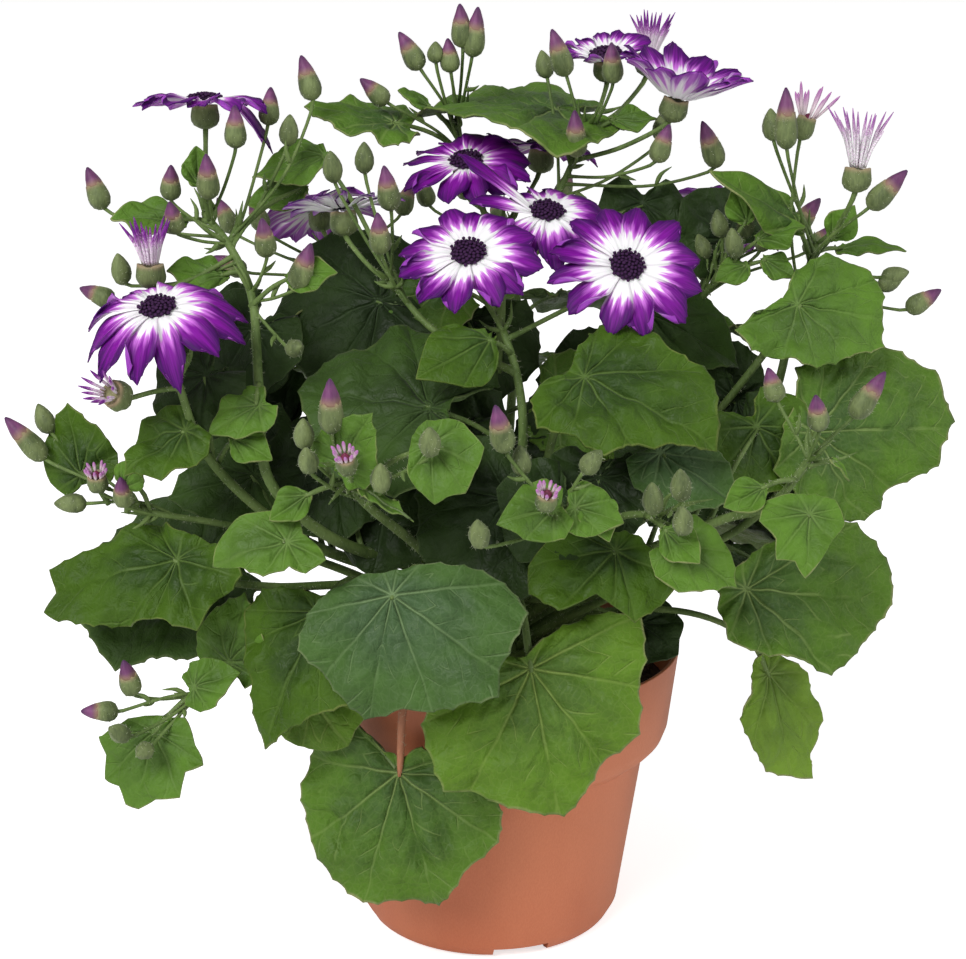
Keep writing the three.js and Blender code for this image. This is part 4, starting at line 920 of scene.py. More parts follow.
STEM = (0.0023, 0.0012)
BRANCH = (0.0013, 0.001)
BUD_STALK = 0.00055
CUP_STALK = 0.0008
STALK_SPACING = 0.0028
STALK_BEND = (0.55, 0.16, 0.08)  # where it bends, its sag and its rise, as shares of its length
BUD_RADIUS = 0.0037
FULL_BUD = 0.015                 # the length of a bud that is ready to open
SHORT_BUD = 0.0105               # below this length a bud shows no colour yet
CUP_RADIUS = 0.0047
CUP_LENGTH = 0.008
STALK_DROP = 0.024               # how far below its blade a shaded leaf's stalk leaves the stem
FLOWER_GAP = 0.00105             # from a cup's rim up to the plane of its ray petals
BUD_GREEN = 0.6                  # how much of a bud its bracts cover
BUD_TIP_SUNK = 0.12              # how much of its mauve tip starts below their brim
BUD_HAIRS = 40
STEM_HAIRS = 1100
YOUNG_LEAF = 0.03                # a stem leaf shorter than this is of the young green
BRACTLET_LENGTHS = (0.014, 0.008)        # the longest at a fork, and on a bud's stalk
OPEN_MIDDLE = (0.62, 0.0022)     # of an opening bud: its width as a share of the bud's, its height
SHORT_QUILL = 0.0006
OPENING = {                      # buds that have just opened, and the length of their quills
    (-0.12, -0.058, 0.168): 0.004, (-0.04, -0.104, 0.186): 0.004, (0.015, -0.103, 0.175): 0.0035,
    (0.099, -0.004, 0.27): 0.011,
}
# Radii from foot to tip of a small leaf's stalk and of a bractlet.
SMALL_LEAF_STALK = [0.0011, 0.00095, 0.00085, 0.0008, 0.0008, 0.0008, 0.00075, 0.00065, 0.0004]
BRACTLET = [0.0005, 0.00075, 0.0008, 0.0007, 0.0005, 0.00035, 0.00012]

# Outlines of the small leaves: a stem leaf, then a narrow one, an egg-shaped one and a bract.
STEM_LEAF = [
    (-165, 0.14), (-130, 0.4), (-92, 0.52), (-56, 0.66), (-30, 0.72), (0, 1), (30, 0.76),
    (56, 0.62), (92, 0.54), (130, 0.38), (165, 0.14),
]


def oval(width):
    """The outline of a plain leaf: pointed at the tip, widest nearer its stalk."""
    side = []
    for n in range(1, 10):
        along = n / 10
        across = width * math.sin(math.pi * along ** 0.8) ** 0.9 * (1 - 0.3 * along)
        side.append((math.degrees(math.atan2(across, along)), math.hypot(along, across)))
    side = [(165, 0.05), (110, 0.1), *side]
    return [*((-angle, reach) for angle, reach in side), (0, 1), *reversed(side)]


LANCE = oval(0.27)
EGG = oval(0.5)
BRACT = [(-150, 0.06), (-110, 0.12), (-30, 0.3), (0, 1), (30, 0.3), (110, 0.12), (150, 0.06)]

STEMS = []


def new_stem(name, root, *path):
    """Starts a stem: the height of its foot in the crown, and the places that it runs through."""
    STEMS.append(dict(name=name, root=root, path=path, sprays=[], leaves=[]))


def add_spray(line, *heads):
    """Adds to the last stem a fork, or a branch from its fork on, and what spreads from its end,
    top first: the names of its flowers, and its buds, each by its foot and tip."""
    STEMS[-1]["sprays"].append((line, heads))


def add_leaf(start, at, tip, face, outline=STEM_LEAF, **own):
    """Adds to the last stem a leaf: where its stalk starts, where the stalk meets the blade, the
    blade's tip, and the way that it faces."""
    STEMS[-1]["leaves"].append(dict(start=start, at=at, tip=tip, face=face, outline=outline, **own))


def add_shade_leaf(at, tip, face, tone="shade"):
    """Adds a broad leaf inside the plant, in the shade of others, whose stalk leaves the stem a
    little way below it. Its usual finish is the darkest green, which paints the shade there."""
    add_leaf(None, at, tip, face, BROAD, tone=tone)


new_stem("stem_upper_left", 0.112, (-0.02, -0.022, 0.13), (-0.052, -0.05, 0.152), (-0.068, -0.058, 0.172),
    (-0.071, -0.05, 0.198), (-0.074, -0.038, 0.226), (-0.082, -0.028, 0.24), (-0.09, -0.02, 0.248))
add_spray([(-0.09, -0.02, 0.248)], "flower_top_left", ((-0.079, -0.024, 0.269), (-0.079, -0.024, 0.282)),
    ((-0.087, -0.03, 0.254), (-0.087, -0.033, 0.268)), ((-0.1, -0.024, 0.253), (-0.099, -0.026, 0.264)),
    ((-0.123, -0.014, 0.249), (-0.128, -0.012, 0.262)),
    ((-0.097, -0.034, 0.244), (-0.098, -0.038, 0.254)), ((-0.072, 0.004, 0.274), (-0.071, 0.006, 0.286)))
add_spray([(-0.082, -0.028, 0.24)], ((-0.057, 0.004, 0.282), (-0.061, 0.006, 0.296)),
    ((-0.065, -0.004, 0.268), (-0.064, -0.004, 0.278)), "quilled_left",
    ((-0.114, -0.034, 0.228), (-0.115, -0.036, 0.238)), ((-0.118, -0.03, 0.222), (-0.129, -0.028, 0.226)))
add_spray([(-0.074, -0.038, 0.226)], ((-0.068, -0.044, 0.238), (-0.069, -0.046, 0.25)),
    ((-0.059, -0.048, 0.229), (-0.054, -0.05, 0.243)), ((-0.061, -0.052, 0.211), (-0.057, -0.058, 0.213)))
add_leaf((-0.088, -0.022, 0.246), (-0.097, -0.018, 0.246), (-0.119, -0.022, 0.25), (-0.2, -0.5, 0.8), EGG)
add_leaf((-0.077, -0.034, 0.232), (-0.082, -0.034, 0.231), (-0.1, -0.036, 0.234), (-0.2, -0.5, 0.8), EGG)
add_leaf((-0.061, -0.055, 0.163), (-0.059, -0.094, 0.163), (-0.082, -0.094, 0.157),
    (-0.15, -0.8, 0.58), outline=[
    (-166, 0.005), (-119, 0.009), (-67, 0.012), (-43, 0.017), (-22, 0.02), (0, 0.024), (10, 0.017),
    (42, 0.012), (87, 0.008), (108, 0.011), (141, 0.013), (160, 0.009)])
add_leaf((-0.071, -0.05, 0.2), (-0.07, -0.06, 0.196), (-0.085, -0.066, 0.189), (-0.1, -0.6, 0.8))
add_shade_leaf((-0.08, 0.006, 0.206), (-0.099, 0.004, 0.188), (-0.2, -0.8, 0.5))
add_shade_leaf((-0.05, -0.026, 0.17), (-0.066, -0.04, 0.148), (-0.3, -0.8, 0.5))
add_shade_leaf((-0.076, -0.02, 0.212), (-0.089, -0.028, 0.193), (-0.2, -0.8, 0.5))
add_leaf((-0.082, -0.028, 0.24), (-0.061, 0.006, 0.254), (-0.08, 0.004, 0.25), (-0.1, -0.6, 0.8), EGG)
add_leaf((-0.088, -0.022, 0.246), (-0.09, -0.03, 0.258), (-0.09, -0.03, 0.27), (0.2, -0.9, 0.2), EGG)
add_leaf((-0.074, -0.04, 0.222), (-0.062, -0.046, 0.232), (-0.048, -0.05, 0.236), (0.1, -0.8, 0.6), EGG)

new_stem("stem_left", 0.107, (-0.028, -0.01, 0.124), (-0.058, -0.034, 0.144), (-0.076, -0.046, 0.162),
    (-0.088, -0.058, 0.182), (-0.094, -0.062, 0.204))
add_spray([(-0.094, -0.062, 0.204)], "flower_left", "quilled_low_left")
add_spray([(-0.058, -0.034, 0.144), (-0.084, -0.046, 0.154), (-0.105, -0.054, 0.16)],
    ((-0.138, -0.04, 0.182), (-0.142, -0.038, 0.191)), ((-0.139, -0.046, 0.175), (-0.151, -0.044, 0.188)),
    ((-0.12, -0.058, 0.168), (-0.12, -0.062, 0.178)), ((-0.125, -0.054, 0.163), (-0.135, -0.054, 0.163)),
    ((-0.112, -0.06, 0.164), (-0.112, -0.064, 0.174)))
add_leaf((-0.088, -0.058, 0.182), (-0.092, -0.064, 0.189), (-0.11, -0.072, 0.178), (-0.3, -0.7, 0.6),
    tone="deep")
add_leaf((-0.118, -0.054, 0.163), (-0.128, -0.046, 0.17), (-0.133, -0.042, 0.192), (-0.3, -0.9, 0.3),
    tone="deep")
add_leaf((-0.066, -0.039, 0.15), (-0.076, -0.03, 0.166), (-0.104, -0.034, 0.16), (-0.1, -0.8, 0.55),
    tone="dark")
add_shade_leaf((-0.07, 0, 0.172), (-0.1, 0.004, 0.156), (-0.2, -0.8, 0.5))
add_shade_leaf((-0.081, -0.01, 0.178), (-0.089, -0.016, 0.157), (-0.2, -0.8, 0.5))
add_shade_leaf((-0.062, -0.02, 0.165), (-0.076, -0.034, 0.147), (-0.3, -0.8, 0.5))
add_shade_leaf((-0.087, -0.05, 0.203), (-0.101, -0.056, 0.19), (-0.2, -0.8, 0.5))
add_leaf((-0.084, -0.052, 0.176), (-0.078, -0.062, 0.186), (-0.066, -0.068, 0.182), (0.1, -0.8, 0.6), EGG)
add_leaf((-0.112, -0.056, 0.161), (-0.112, -0.062, 0.17), (-0.106, -0.066, 0.18), (0, -0.9, 0.3), EGG)

new_stem("stem_centre", 0.112, (0.002, -0.013, 0.13), (0.008, -0.038, 0.16), (0.01, -0.048, 0.186),
    (0.008, -0.044, 0.202), (0.004, -0.038, 0.214))
add_spray([(0.004, -0.038, 0.214)], "flower_front_left", "flower_front_right")
add_spray([(0.008, -0.044, 0.202), (-0.018, -0.03, 0.213), (-0.032, -0.02, 0.227)],
    ((-0.031, -0.026, 0.25), (-0.033, -0.028, 0.264)), "flower_pale",
    ((-0.034, -0.03, 0.237), (-0.035, -0.032, 0.25)), ((-0.04, -0.012, 0.26), (-0.04, -0.012, 0.27)),
    ((-0.049, -0.02, 0.258), (-0.05, -0.022, 0.268)))
add_leaf((0.006, -0.042, 0.208), (0, -0.05, 0.214), (-0.022, -0.064, 0.206), (-0.2, -0.85, 0.5), EGG,
    tone="deep")
add_leaf((0.009, -0.044, 0.176), (-0.019, -0.054, 0.194), (-0.06, -0.046, 0.198), (-0.05, -0.6, 0.8),
    BROAD, tone="dark")
add_shade_leaf((0.003, -0.02, 0.173), (-0.019, -0.034, 0.152), (0, -0.85, 0.5))
add_shade_leaf((-0.016, -0.04, 0.18), (-0.03, -0.056, 0.156), (-0.2, -0.8, 0.55))
add_shade_leaf((0.036, -0.014, 0.178), (0.027, -0.03, 0.15), (0.1, -0.85, 0.5))
add_shade_leaf((0.006, -0.06, 0.166), (-0.016, -0.074, 0.143), (-0.1, -0.8, 0.6))
add_shade_leaf((-0.033, -0.036, 0.157), (-0.038, -0.044, 0.136), (-0.1, -0.8, 0.5))
add_leaf((-0.03, -0.021, 0.224), (-0.054, 0.004, 0.265), (-0.078, 0.002, 0.259), (-0.1, -0.6, 0.8), EGG)

new_stem("stem_top", 0.118, (0, 0.004, 0.132), (0.002, 0.008, 0.18), (0.004, 0.01, 0.22),
    (0.004, 0.014, 0.24))
add_spray([(0.004, 0.014, 0.24)], "flower_rear_middle", "flower_upper_middle", "flower_middle")
add_spray([(0.004, 0.011, 0.228), (-0.004, 0.034, 0.248), (-0.012, 0.036, 0.272)],
    ((-0.009, 0.02, 0.298), (-0.01, 0.02, 0.312)), ((-0.006, 0.02, 0.295), (-0.004, 0.02, 0.311)),
    ((-0.023, 0.02, 0.291), (-0.03, 0.02, 0.303)), ((-0.013, 0.02, 0.29), (-0.014, 0.02, 0.301)),
    ((-0.034, 0.02, 0.28), (-0.043, 0.02, 0.288)), ((-0.018, 0.02, 0.293), (-0.018, 0.02, 0.3)))
add_spray([(0.004, 0.01, 0.22), (0.02, 0.012, 0.246), (0.032, 0.014, 0.272)], "quilled_top", "flower_top",
    ((0.025, 0.016, 0.289), (0.02, 0.016, 0.304)), ((0.04, 0.01, 0.287), (0.039, 0.008, 0.3)),
    "flower_top_right", ((0.028, 0.002, 0.264), (0.027, 0, 0.279)),
    ((0.053, -0.006, 0.263), (0.057, -0.006, 0.275)), ((0.075, 0.01, 0.26), (0.069, 0.008, 0.275)),
    ((0.019, 0.024, 0.288), (0.017, 0.026, 0.297)), ((0.056, 0.012, 0.268), (0.057, 0.012, 0.278)))
add_leaf((0.027, 0.013, 0.26), (0.022, 0.028, 0.278), (-0.024, 0.024, 0.283), (0, -0.14, 0.98), BROAD,
    wave=0.1)
add_leaf((-0.008, 0.035, 0.262), (-0.031, 0.02, 0.274), (-0.061, 0.016, 0.281), (0, -0.3, 0.95))
add_leaf((0.001, 0.007, 0.168), (-0.016, -0.002, 0.178), (-0.054, -0.012, 0.166), (-0.05, -0.7, 0.7),
    BROAD)
add_leaf((0.002, 0.008, 0.176), (0.022, -0.01, 0.186), (0.058, -0.016, 0.178), (0.05, -0.8, 0.6))
add_leaf((0.003, 0.01, 0.212), (-0.014, 0.006, 0.222), (-0.048, 0.004, 0.214), (-0.1, -0.7, 0.7))
add_shade_leaf((-0.037, 0.004, 0.217), (-0.074, 0, 0.202), (-0.1, -0.75, 0.65))
add_shade_leaf((-0.007, 0.012, 0.209), (-0.024, 0.006, 0.18), (0, -0.9, 0.4))
add_shade_leaf((0.051, 0.014, 0.248), (0.05, 0.008, 0.23), (0.1, -0.8, 0.6))
add_leaf((0.029, 0.014, 0.266), (0.04, 0.01, 0.276), (0.054, 0.006, 0.277), (0.1, -0.5, 0.8), EGG)
add_leaf((-0.01, 0.035, 0.266), (-0.02, 0.026, 0.279), (-0.03, 0.022, 0.285), (0, -0.6, 0.8), EGG)

new_stem("stem_right", 0.107, (0.024, 0.001, 0.122), (0.062, -0.004, 0.152), (0.092, -0.002, 0.18),
    (0.101, 0.006, 0.208), (0.109, 0.014, 0.234))
add_spray([(0.109, 0.014, 0.234)], ((0.09, -0.008, 0.27), (0.089, -0.006, 0.28)),
    ((0.093, -0.016, 0.268), (0.092, -0.016, 0.287)), "quilled_right",
    ((0.119, -0.02, 0.25), (0.13, -0.022, 0.262)), ((0.13, 0.006, 0.224), (0.139, 0.006, 0.226)),
    ((0.139, 0.006, 0.213), (0.15, 0.006, 0.22)), ((0.129, 0.006, 0.221), (0.137, 0.006, 0.224)),
    ((0.099, -0.004, 0.27), (0.103, -0.003, 0.282)))
add_leaf((0.107, 0.012, 0.229), (0.101, 0, 0.242), (0.072, -0.01, 0.262), (-0.1, -0.7, 0.7), LANCE)
add_leaf((0.108, 0.013, 0.231), (0.118, 0.02, 0.232), (0.14, 0.017, 0.235), (0.1, -0.4, 0.9), LANCE)
add_leaf((0.078, -0.003, 0.166), (0.082, -0.012, 0.172), (0.104, -0.014, 0.16), (0, -0.8, 0.6),
    tone="deep")
add_leaf((0.107, 0.01, 0.228), (0.111, -0.004, 0.238), (0.117, -0.008, 0.249), (0.1, -0.9, 0.3), EGG)

new_stem("stem_mid_right", 0.114, (0.016, 0.004, 0.128), (0.042, 0.008, 0.172), (0.062, 0.008, 0.206),
    (0.076, 0.006, 0.224))
add_spray([(0.076, 0.006, 0.224)], ((0.076, 0.002, 0.238), (0.074, 0.002, 0.247)),
    ((0.084, 0.006, 0.237), (0.085, 0.008, 0.246)), ((0.08, -0.004, 0.232), (0.078, -0.006, 0.242)),
    ((0.089, 0.004, 0.233), (0.092, 0.006, 0.242)), ((0.072, 0.008, 0.23), (0.069, 0.01, 0.238)))
add_leaf((0.056, 0.008, 0.196), (0.052, -0.004, 0.214), (0.084, -0.008, 0.2), (0.2, -0.7, 0.6),
    tone="dark")
add_leaf((0.048, 0.008, 0.182), (0.06, 0.01, 0.19), (0.09, 0.01, 0.178), (0.1, -0.7, 0.7), tone="dark")
add_shade_leaf((0.072, 0.004, 0.187), (0.092, 0, 0.168), (0.2, -0.85, 0.4))
add_shade_leaf((0.044, 0.002, 0.19), (0.03, -0.006, 0.162), (0, -0.9, 0.4))
add_shade_leaf((0.081, -0.01, 0.186), (0.074, -0.016, 0.164), (0.1, -0.85, 0.5))
add_shade_leaf((0.079, 0.012, 0.236), (0.064, 0.01, 0.25), (0.1, -0.9, 0.4))
add_leaf((0.074, 0.006, 0.222), (0.084, 0, 0.243), (0.079, 0, 0.255), (-0.1, -0.9, 0.2), EGG)
add_leaf((0.074, 0.006, 0.222), (0.087, -0.002, 0.238), (0.101, -0.006, 0.244), (0.1, -0.7, 0.7), EGG)
add_leaf((0.074, 0.006, 0.222), (0.084, -0.004, 0.23), (0.073, -0.008, 0.226), (-0.1, -0.8, 0.6), EGG)
add_leaf((0.074, 0.006, 0.222), (0.089, -0.004, 0.232), (0.099, -0.008, 0.227), (0.1, -0.8, 0.5), EGG)

new_stem("stem_low_right", 0.1, (0.018, -0.017, 0.118), (0.044, -0.044, 0.142), (0.07, -0.062, 0.16),
    (0.084, -0.072, 0.168), (0.094, -0.074, 0.182))
add_spray([(0.094, -0.074, 0.182)], ((0.086, -0.062, 0.197), (0.083, -0.06, 0.207)),
    ((0.108, -0.066, 0.193), (0.117, -0.066, 0.207)), ((0.096, -0.078, 0.192), (0.094, -0.08, 0.203)))
add_leaf((0.086, -0.072, 0.17), (0.093, -0.086, 0.169), (0.091, -0.097, 0.153),
    (0.1, -0.85, 0.52), outline=[
    (-170, 0.006), (-131, 0.008), (-100, 0.014), (-76, 0.015), (-47, 0.013), (-31, 0.017), (-13, 0.015),
    (0, 0.019), (16, 0.014), (44, 0.01), (85, 0.011), (125, 0.009)])
add_leaf((0.062, -0.056, 0.154), (0.052, -0.056, 0.18), (0.076, -0.064, 0.166), (0.15, -0.75, 0.65),
    tone="grey")
add_leaf((0.094, -0.074, 0.18), (0.101, -0.076, 0.183), (0.107, -0.078, 0.178), (0, -0.5, 0.9), BRACT)
add_shade_leaf((0.084, -0.02, 0.175), (0.1, -0.026, 0.152), (0.3, -0.8, 0.5))
add_shade_leaf((0.065, -0.024, 0.173), (0.051, -0.034, 0.15), (0, -0.85, 0.5))
add_shade_leaf((0.085, -0.03, 0.182), (0.096, -0.036, 0.163), (0.2, -0.85, 0.5), "deep")
add_leaf((0.09, -0.074, 0.176), (0.08, -0.082, 0.176), (0.068, -0.086, 0.172), (-0.1, -0.8, 0.6), EGG)

new_stem("stem_front", 0.105, (0.01, -0.02, 0.121), (0.024, -0.052, 0.142), (0.034, -0.064, 0.158),
    (0.03, -0.078, 0.166), (0.02, -0.092, 0.17))
add_spray([(0.02, -0.092, 0.17)], ((0.004, -0.096, 0.19), (0.001, -0.098, 0.204)),
    ((0.026, -0.096, 0.184), (0.031, -0.098, 0.191)), ((0.015, -0.103, 0.175), (0.016, -0.107, 0.184)),
    ((-0.003, -0.106, 0.165), (-0.004, -0.11, 0.174)), ((0.009, -0.092, 0.182), (0.008, -0.092, 0.191)))
add_spray([(0.034, -0.064, 0.158), (0.04, -0.071, 0.164), (0.05, -0.08, 0.167)],
    ((0.055, -0.09, 0.174), (0.054, -0.092, 0.184)), ((0.047, -0.09, 0.17), (0.046, -0.092, 0.18)),
    ((0.055, -0.097, 0.166), (0.054, -0.1, 0.175)))
add_leaf((0.022, -0.09, 0.17), (0.018, -0.098, 0.174), (0.002, -0.104, 0.172), (-0.1, -0.85, 0.5))
add_leaf((0.024, -0.088, 0.17), (0.024, -0.096, 0.174), (0.038, -0.098, 0.17), (0.1, -0.85, 0.5))
add_leaf((0.046, -0.076, 0.166), (0.054, -0.088, 0.16), (0.072, -0.094, 0.15), (0.1, -0.8, 0.6))
add_shade_leaf((0.021, -0.072, 0.169), (0.008, -0.08, 0.153), (0, -0.8, 0.6))
add_shade_leaf((0.033, -0.06, 0.173), (0.03, -0.072, 0.155), (0.1, -0.8, 0.6))
add_shade_leaf((0.05, -0.025, 0.114), (0.063, -0.03, 0.106), (0.3, -0.7, 0.6))
add_leaf((0.03, -0.078, 0.166), (0.028, -0.092, 0.176), (0.034, -0.1, 0.166), (0.1, -0.85, 0.5), EGG)
add_leaf((0.046, -0.078, 0.166), (0.05, -0.092, 0.166), (0.06, -0.098, 0.158), (0.1, -0.85, 0.5), EGG)

new_stem("stem_front_left", 0.106, (-0.007, -0.024, 0.122), (-0.022, -0.052, 0.148),
    (-0.036, -0.07, 0.166), (-0.042, -0.086, 0.178))
add_spray([(-0.042, -0.086, 0.178)], ((-0.045, -0.098, 0.196), (-0.045, -0.1, 0.212)),
    ((-0.017, -0.108, 0.192), (-0.017, -0.112, 0.201)), ((-0.053, -0.096, 0.191), (-0.053, -0.097, 0.2)),
    ((-0.04, -0.104, 0.186), (-0.041, -0.109, 0.195)), ((-0.031, -0.102, 0.18), (-0.031, -0.105, 0.189)),
    ((-0.051, -0.1, 0.185), (-0.052, -0.103, 0.193)))
add_leaf((-0.038, -0.08, 0.176), (-0.017, -0.102, 0.194), (-0.016, -0.112, 0.178),
    (-0.05, -0.9, 0.42), outline=[
    (-174, 0.007), (-136, 0.006), (-95, 0.006), (-56, 0.008), (-38, 0.011), (-18, 0.014), (0, 0.017),
    (13, 0.016), (32, 0.017), (59, 0.015), (83, 0.015), (120, 0.011), (150, 0.008)])
add_leaf((-0.042, -0.086, 0.18), (-0.043, -0.096, 0.186), (-0.035, -0.104, 0.202), (-0.2, -0.9, 0.3))
add_leaf((-0.042, -0.086, 0.178), (-0.036, -0.098, 0.18), (-0.022, -0.106, 0.174), (0, -0.6, 0.8), BRACT)
add_leaf((-0.042, -0.086, 0.178), (-0.053, -0.09, 0.176), (-0.064, -0.094, 0.17), (-0.2, -0.8, 0.5), EGG)

new_stem("stem_low_left", 0.091, (-0.024, -0.02, 0.112), (-0.054, -0.048, 0.118), (-0.076, -0.056, 0.11),
    (-0.094, -0.066, 0.104))
add_spray([(-0.094, -0.066, 0.104)], ((-0.11, -0.072, 0.107), (-0.112, -0.074, 0.119)),
    ((-0.114, -0.076, 0.103), (-0.125, -0.078, 0.104)), ((-0.11, -0.082, 0.097), (-0.115, -0.086, 0.102)),
    ((-0.104, -0.08, 0.093), (-0.107, -0.086, 0.093)))
add_leaf((-0.094, -0.066, 0.104), (-0.104, -0.072, 0.095), (-0.111, -0.08, 0.071),
    (-0.25, -0.88, 0.4), outline=[
    (-150, 0.005), (-96, 0.01), (-69, 0.02), (-51, 0.019), (-34, 0.023), (-20, 0.021), (-9, 0.025),
    (1, 0.025), (17, 0.021), (38, 0.022), (54, 0.016), (74, 0.019), (95, 0.013), (126, 0.011),
    (150, 0.006)])
add_leaf((-0.09, -0.064, 0.105), (-0.092, -0.068, 0.108), (-0.078, -0.07, 0.114), (-0.1, -0.8, 0.6))
add_leaf((-0.076, -0.056, 0.11), (-0.082, -0.06, 0.113), (-0.077, -0.06, 0.136), (-0.3, -0.9, 0.2))
add_shade_leaf((-0.056, -0.067, 0.104), (-0.045, -0.07, 0.088), (-0.2, -0.95, 0.1), "fresh")

new_stem("stem_back_left", 0.106, (-0.014, 0.022, 0.13), (-0.034, 0.044, 0.17), (-0.048, 0.052, 0.204),
    (-0.054, 0.05, 0.226))
add_spray([(-0.054, 0.05, 0.226)], "flower_back_left", ((-0.032, 0.062, 0.238), (-0.028, 0.066, 0.25)),
    ((-0.078, 0.034, 0.236), (-0.082, 0.032, 0.248)), ((-0.092, 0.06, 0.232), (-0.098, 0.064, 0.244)),
    ((-0.086, 0.044, 0.22), (-0.097, 0.042, 0.226)))
add_leaf((-0.036, 0.046, 0.174), (-0.066, 0.06, 0.182), (-0.102, 0.082, 0.172), (-0.4, 0.4, 0.82), BROAD)
add_leaf((-0.046, 0.051, 0.2), (-0.076, 0.028, 0.206), (-0.112, 0.024, 0.198), (-0.4, 0.1, 0.9), BROAD)
add_leaf((-0.04, 0.047, 0.186), (-0.042, 0.031, 0.208), (-0.07, 0.018, 0.206), (-0.1, -0.7, 0.7))

new_stem("stem_back", 0.108, (0.004, 0.026, 0.13), (0.008, 0.054, 0.172), (0.01, 0.064, 0.206),
    (0.012, 0.062, 0.232))
add_spray([(0.012, 0.062, 0.232)], ((-0.008, 0.078, 0.242), (-0.012, 0.084, 0.254)),
    ((0.026, 0.084, 0.24), (0.03, 0.092, 0.251)), ((-0.022, 0.072, 0.24), (-0.026, 0.074, 0.252)),
    ((0.004, 0.092, 0.23), (0.002, 0.104, 0.238)))
add_leaf((0.008, 0.056, 0.176), (-0.006, 0.082, 0.184), (-0.022, 0.12, 0.174), (-0.1, 0.5, 0.85), BROAD)
add_leaf((0.01, 0.062, 0.2), (0.026, 0.084, 0.206), (0.044, 0.116, 0.2), (0.2, 0.5, 0.84), BROAD)

new_stem("stem_back_right", 0.106, (0.018, 0.018, 0.128), (0.048, 0.034, 0.166), (0.068, 0.044, 0.198),
    (0.078, 0.046, 0.222))
add_spray([(0.078, 0.046, 0.222)], "flower_back_right", ((0.104, 0.03, 0.236), (0.112, 0.026, 0.248)),
    ((0.054, 0.064, 0.236), (0.05, 0.07, 0.248)), ((0.112, 0.05, 0.226), (0.122, 0.054, 0.235)),
    ((0.086, 0.086, 0.214), (0.091, 0.098, 0.222)))
add_leaf((0.05, 0.035, 0.17), (0.078, 0.056, 0.176), (0.11, 0.082, 0.164), (0.4, 0.4, 0.82), BROAD)
add_leaf((0.068, 0.044, 0.198), (0.098, 0.042, 0.198), (0.138, 0.048, 0.188), (0.4, 0.1, 0.9), BROAD)

# An open flower: the middle of its ray petals, the way it faces, the length of its petals,
# how much they rise and fall along their length, and the turn of the first one in degrees.
FLOWERS = {
    "flower_front_right": dict(at=(0.042, -0.036, 0.234), axis=(0.1, -0.75, 0.66),
        reach=0.0245, lift=0.12, fall=0.2, turn=10),
    "flower_front_left": dict(at=(-0.007, -0.036, 0.238), axis=(-0.05, -0.62, 0.78),
        reach=0.0225, lift=0.1, fall=0.25, turn=24),
    "flower_middle": dict(at=(0.018, -0.014, 0.248), axis=(0.05, -0.45, 0.9),
        reach=0.022, lift=0, fall=0.45, turn=0),
    "flower_upper_middle": dict(at=(-0.008, 0.008, 0.262), axis=(-0.05, -0.42, 0.9),
        reach=0.022, lift=0.1, fall=0.3, turn=14),
    "flower_rear_middle": dict(at=(0.018, 0.042, 0.264), axis=(0.1, 0.15, 1),
        reach=0.02, lift=0.1, fall=0.25, turn=4),
    "flower_left": dict(at=(-0.098, -0.066, 0.226), axis=(-0.1, -0.42, 0.9),
        reach=0.0245, lift=0.1, fall=0.55, turn=18),
    "flower_top_left": dict(at=(-0.092, 0.002, 0.282), axis=(0, 0.05, 1),
        reach=0.022, lift=0.1, fall=0.2, turn=8),
    "flower_top_right": dict(at=(0.06, 0, 0.284), axis=(0.25, -0.15, 1),
        reach=0.022, lift=0.75, fall=0.1, turn=0),
    "flower_top": dict(at=(0.039, 0.034, 0.295), axis=(-0.1, -0.3, 1),
        reach=0.015, lift=0.55, fall=0.2, turn=6),
    "flower_pale": dict(at=(-0.048, -0.002, 0.248), axis=(-0.1, 0.25, 1),
        reach=0.02, lift=0.35, fall=0.2, turn=2),
    "flower_back_left": dict(at=(-0.062, 0.068, 0.24), axis=(-0.2, 0.5, 0.85),
        reach=0.023, lift=0.1, fall=0.3, turn=11),
    "flower_back_right": dict(at=(0.084, 0.056, 0.24), axis=(0.25, 0.5, 0.85),
        reach=0.023, lift=0.1, fall=0.3, turn=20),
}
# A flower whose rays are still rolled: its middle, the way it faces and how long its rays are.
QUILLED = {
    "quilled_top": dict(at=(0.056, 0.058, 0.296), axis=(0.1, 0, 1), reach=0.013),
    "quilled_left": dict(at=(-0.104, -0.042, 0.237), axis=(0, -0.1, 1), reach=0.012),
    "quilled_low_left": dict(at=(-0.112, -0.076, 0.203), axis=(-0.4, -0.8, 0.4), reach=0.007),
    "quilled_right": dict(at=(0.115, -0.02, 0.264), axis=(0.05, 0, 1), reach=0.017),
}


def alternate(piece, sides, slim=1.0, lift=0.0, above=-1.0):
    """Draws in or lifts every second column of points of a turned form."""
    bpy.context.view_layer.objects.active = piece
    for row in (piece.data.polygons, piece.data.edges):
        for part in row:
            part.select = False
    for point in piece.data.vertices:
        column = round(math.atan2(point.co.y, point.co.x) / (2 * math.pi / sides)) % sides
        point.select = column % 2 == 1 and point.co.z > above
    bpy.ops.object.mode_set(mode="EDIT")
    bpy.ops.mesh.select_mode(type="VERT")
    bpy.ops.transform.resize(value=(slim, slim, 1), center_override=(0, 0, 0))
    bpy.ops.transform.translate(value=(0, 0, lift))
    bpy.ops.object.mode_set(mode="OBJECT")


def turned_model(name, sides, profile, slim=1.0, dip=0.0, brim=0.0, turn=0.0, ripeness=1.0):
    """A turned form to copy, one unit in radius and in length, so that each copy takes its own
    size. Every second column of its points is drawn in by slim, and dips above the brim. It
    ripens towards its tip."""
    form = pulled_up(name, sides, profile, turn)
    if slim < 1:
        alternate(form, sides, slim=slim)
    if dip:
        alternate(form, sides, lift=-dip, above=brim)
    model = model_of(form)
    return {**model, "marks": {"ripe": ripeness * model["points"][:, 2]}}


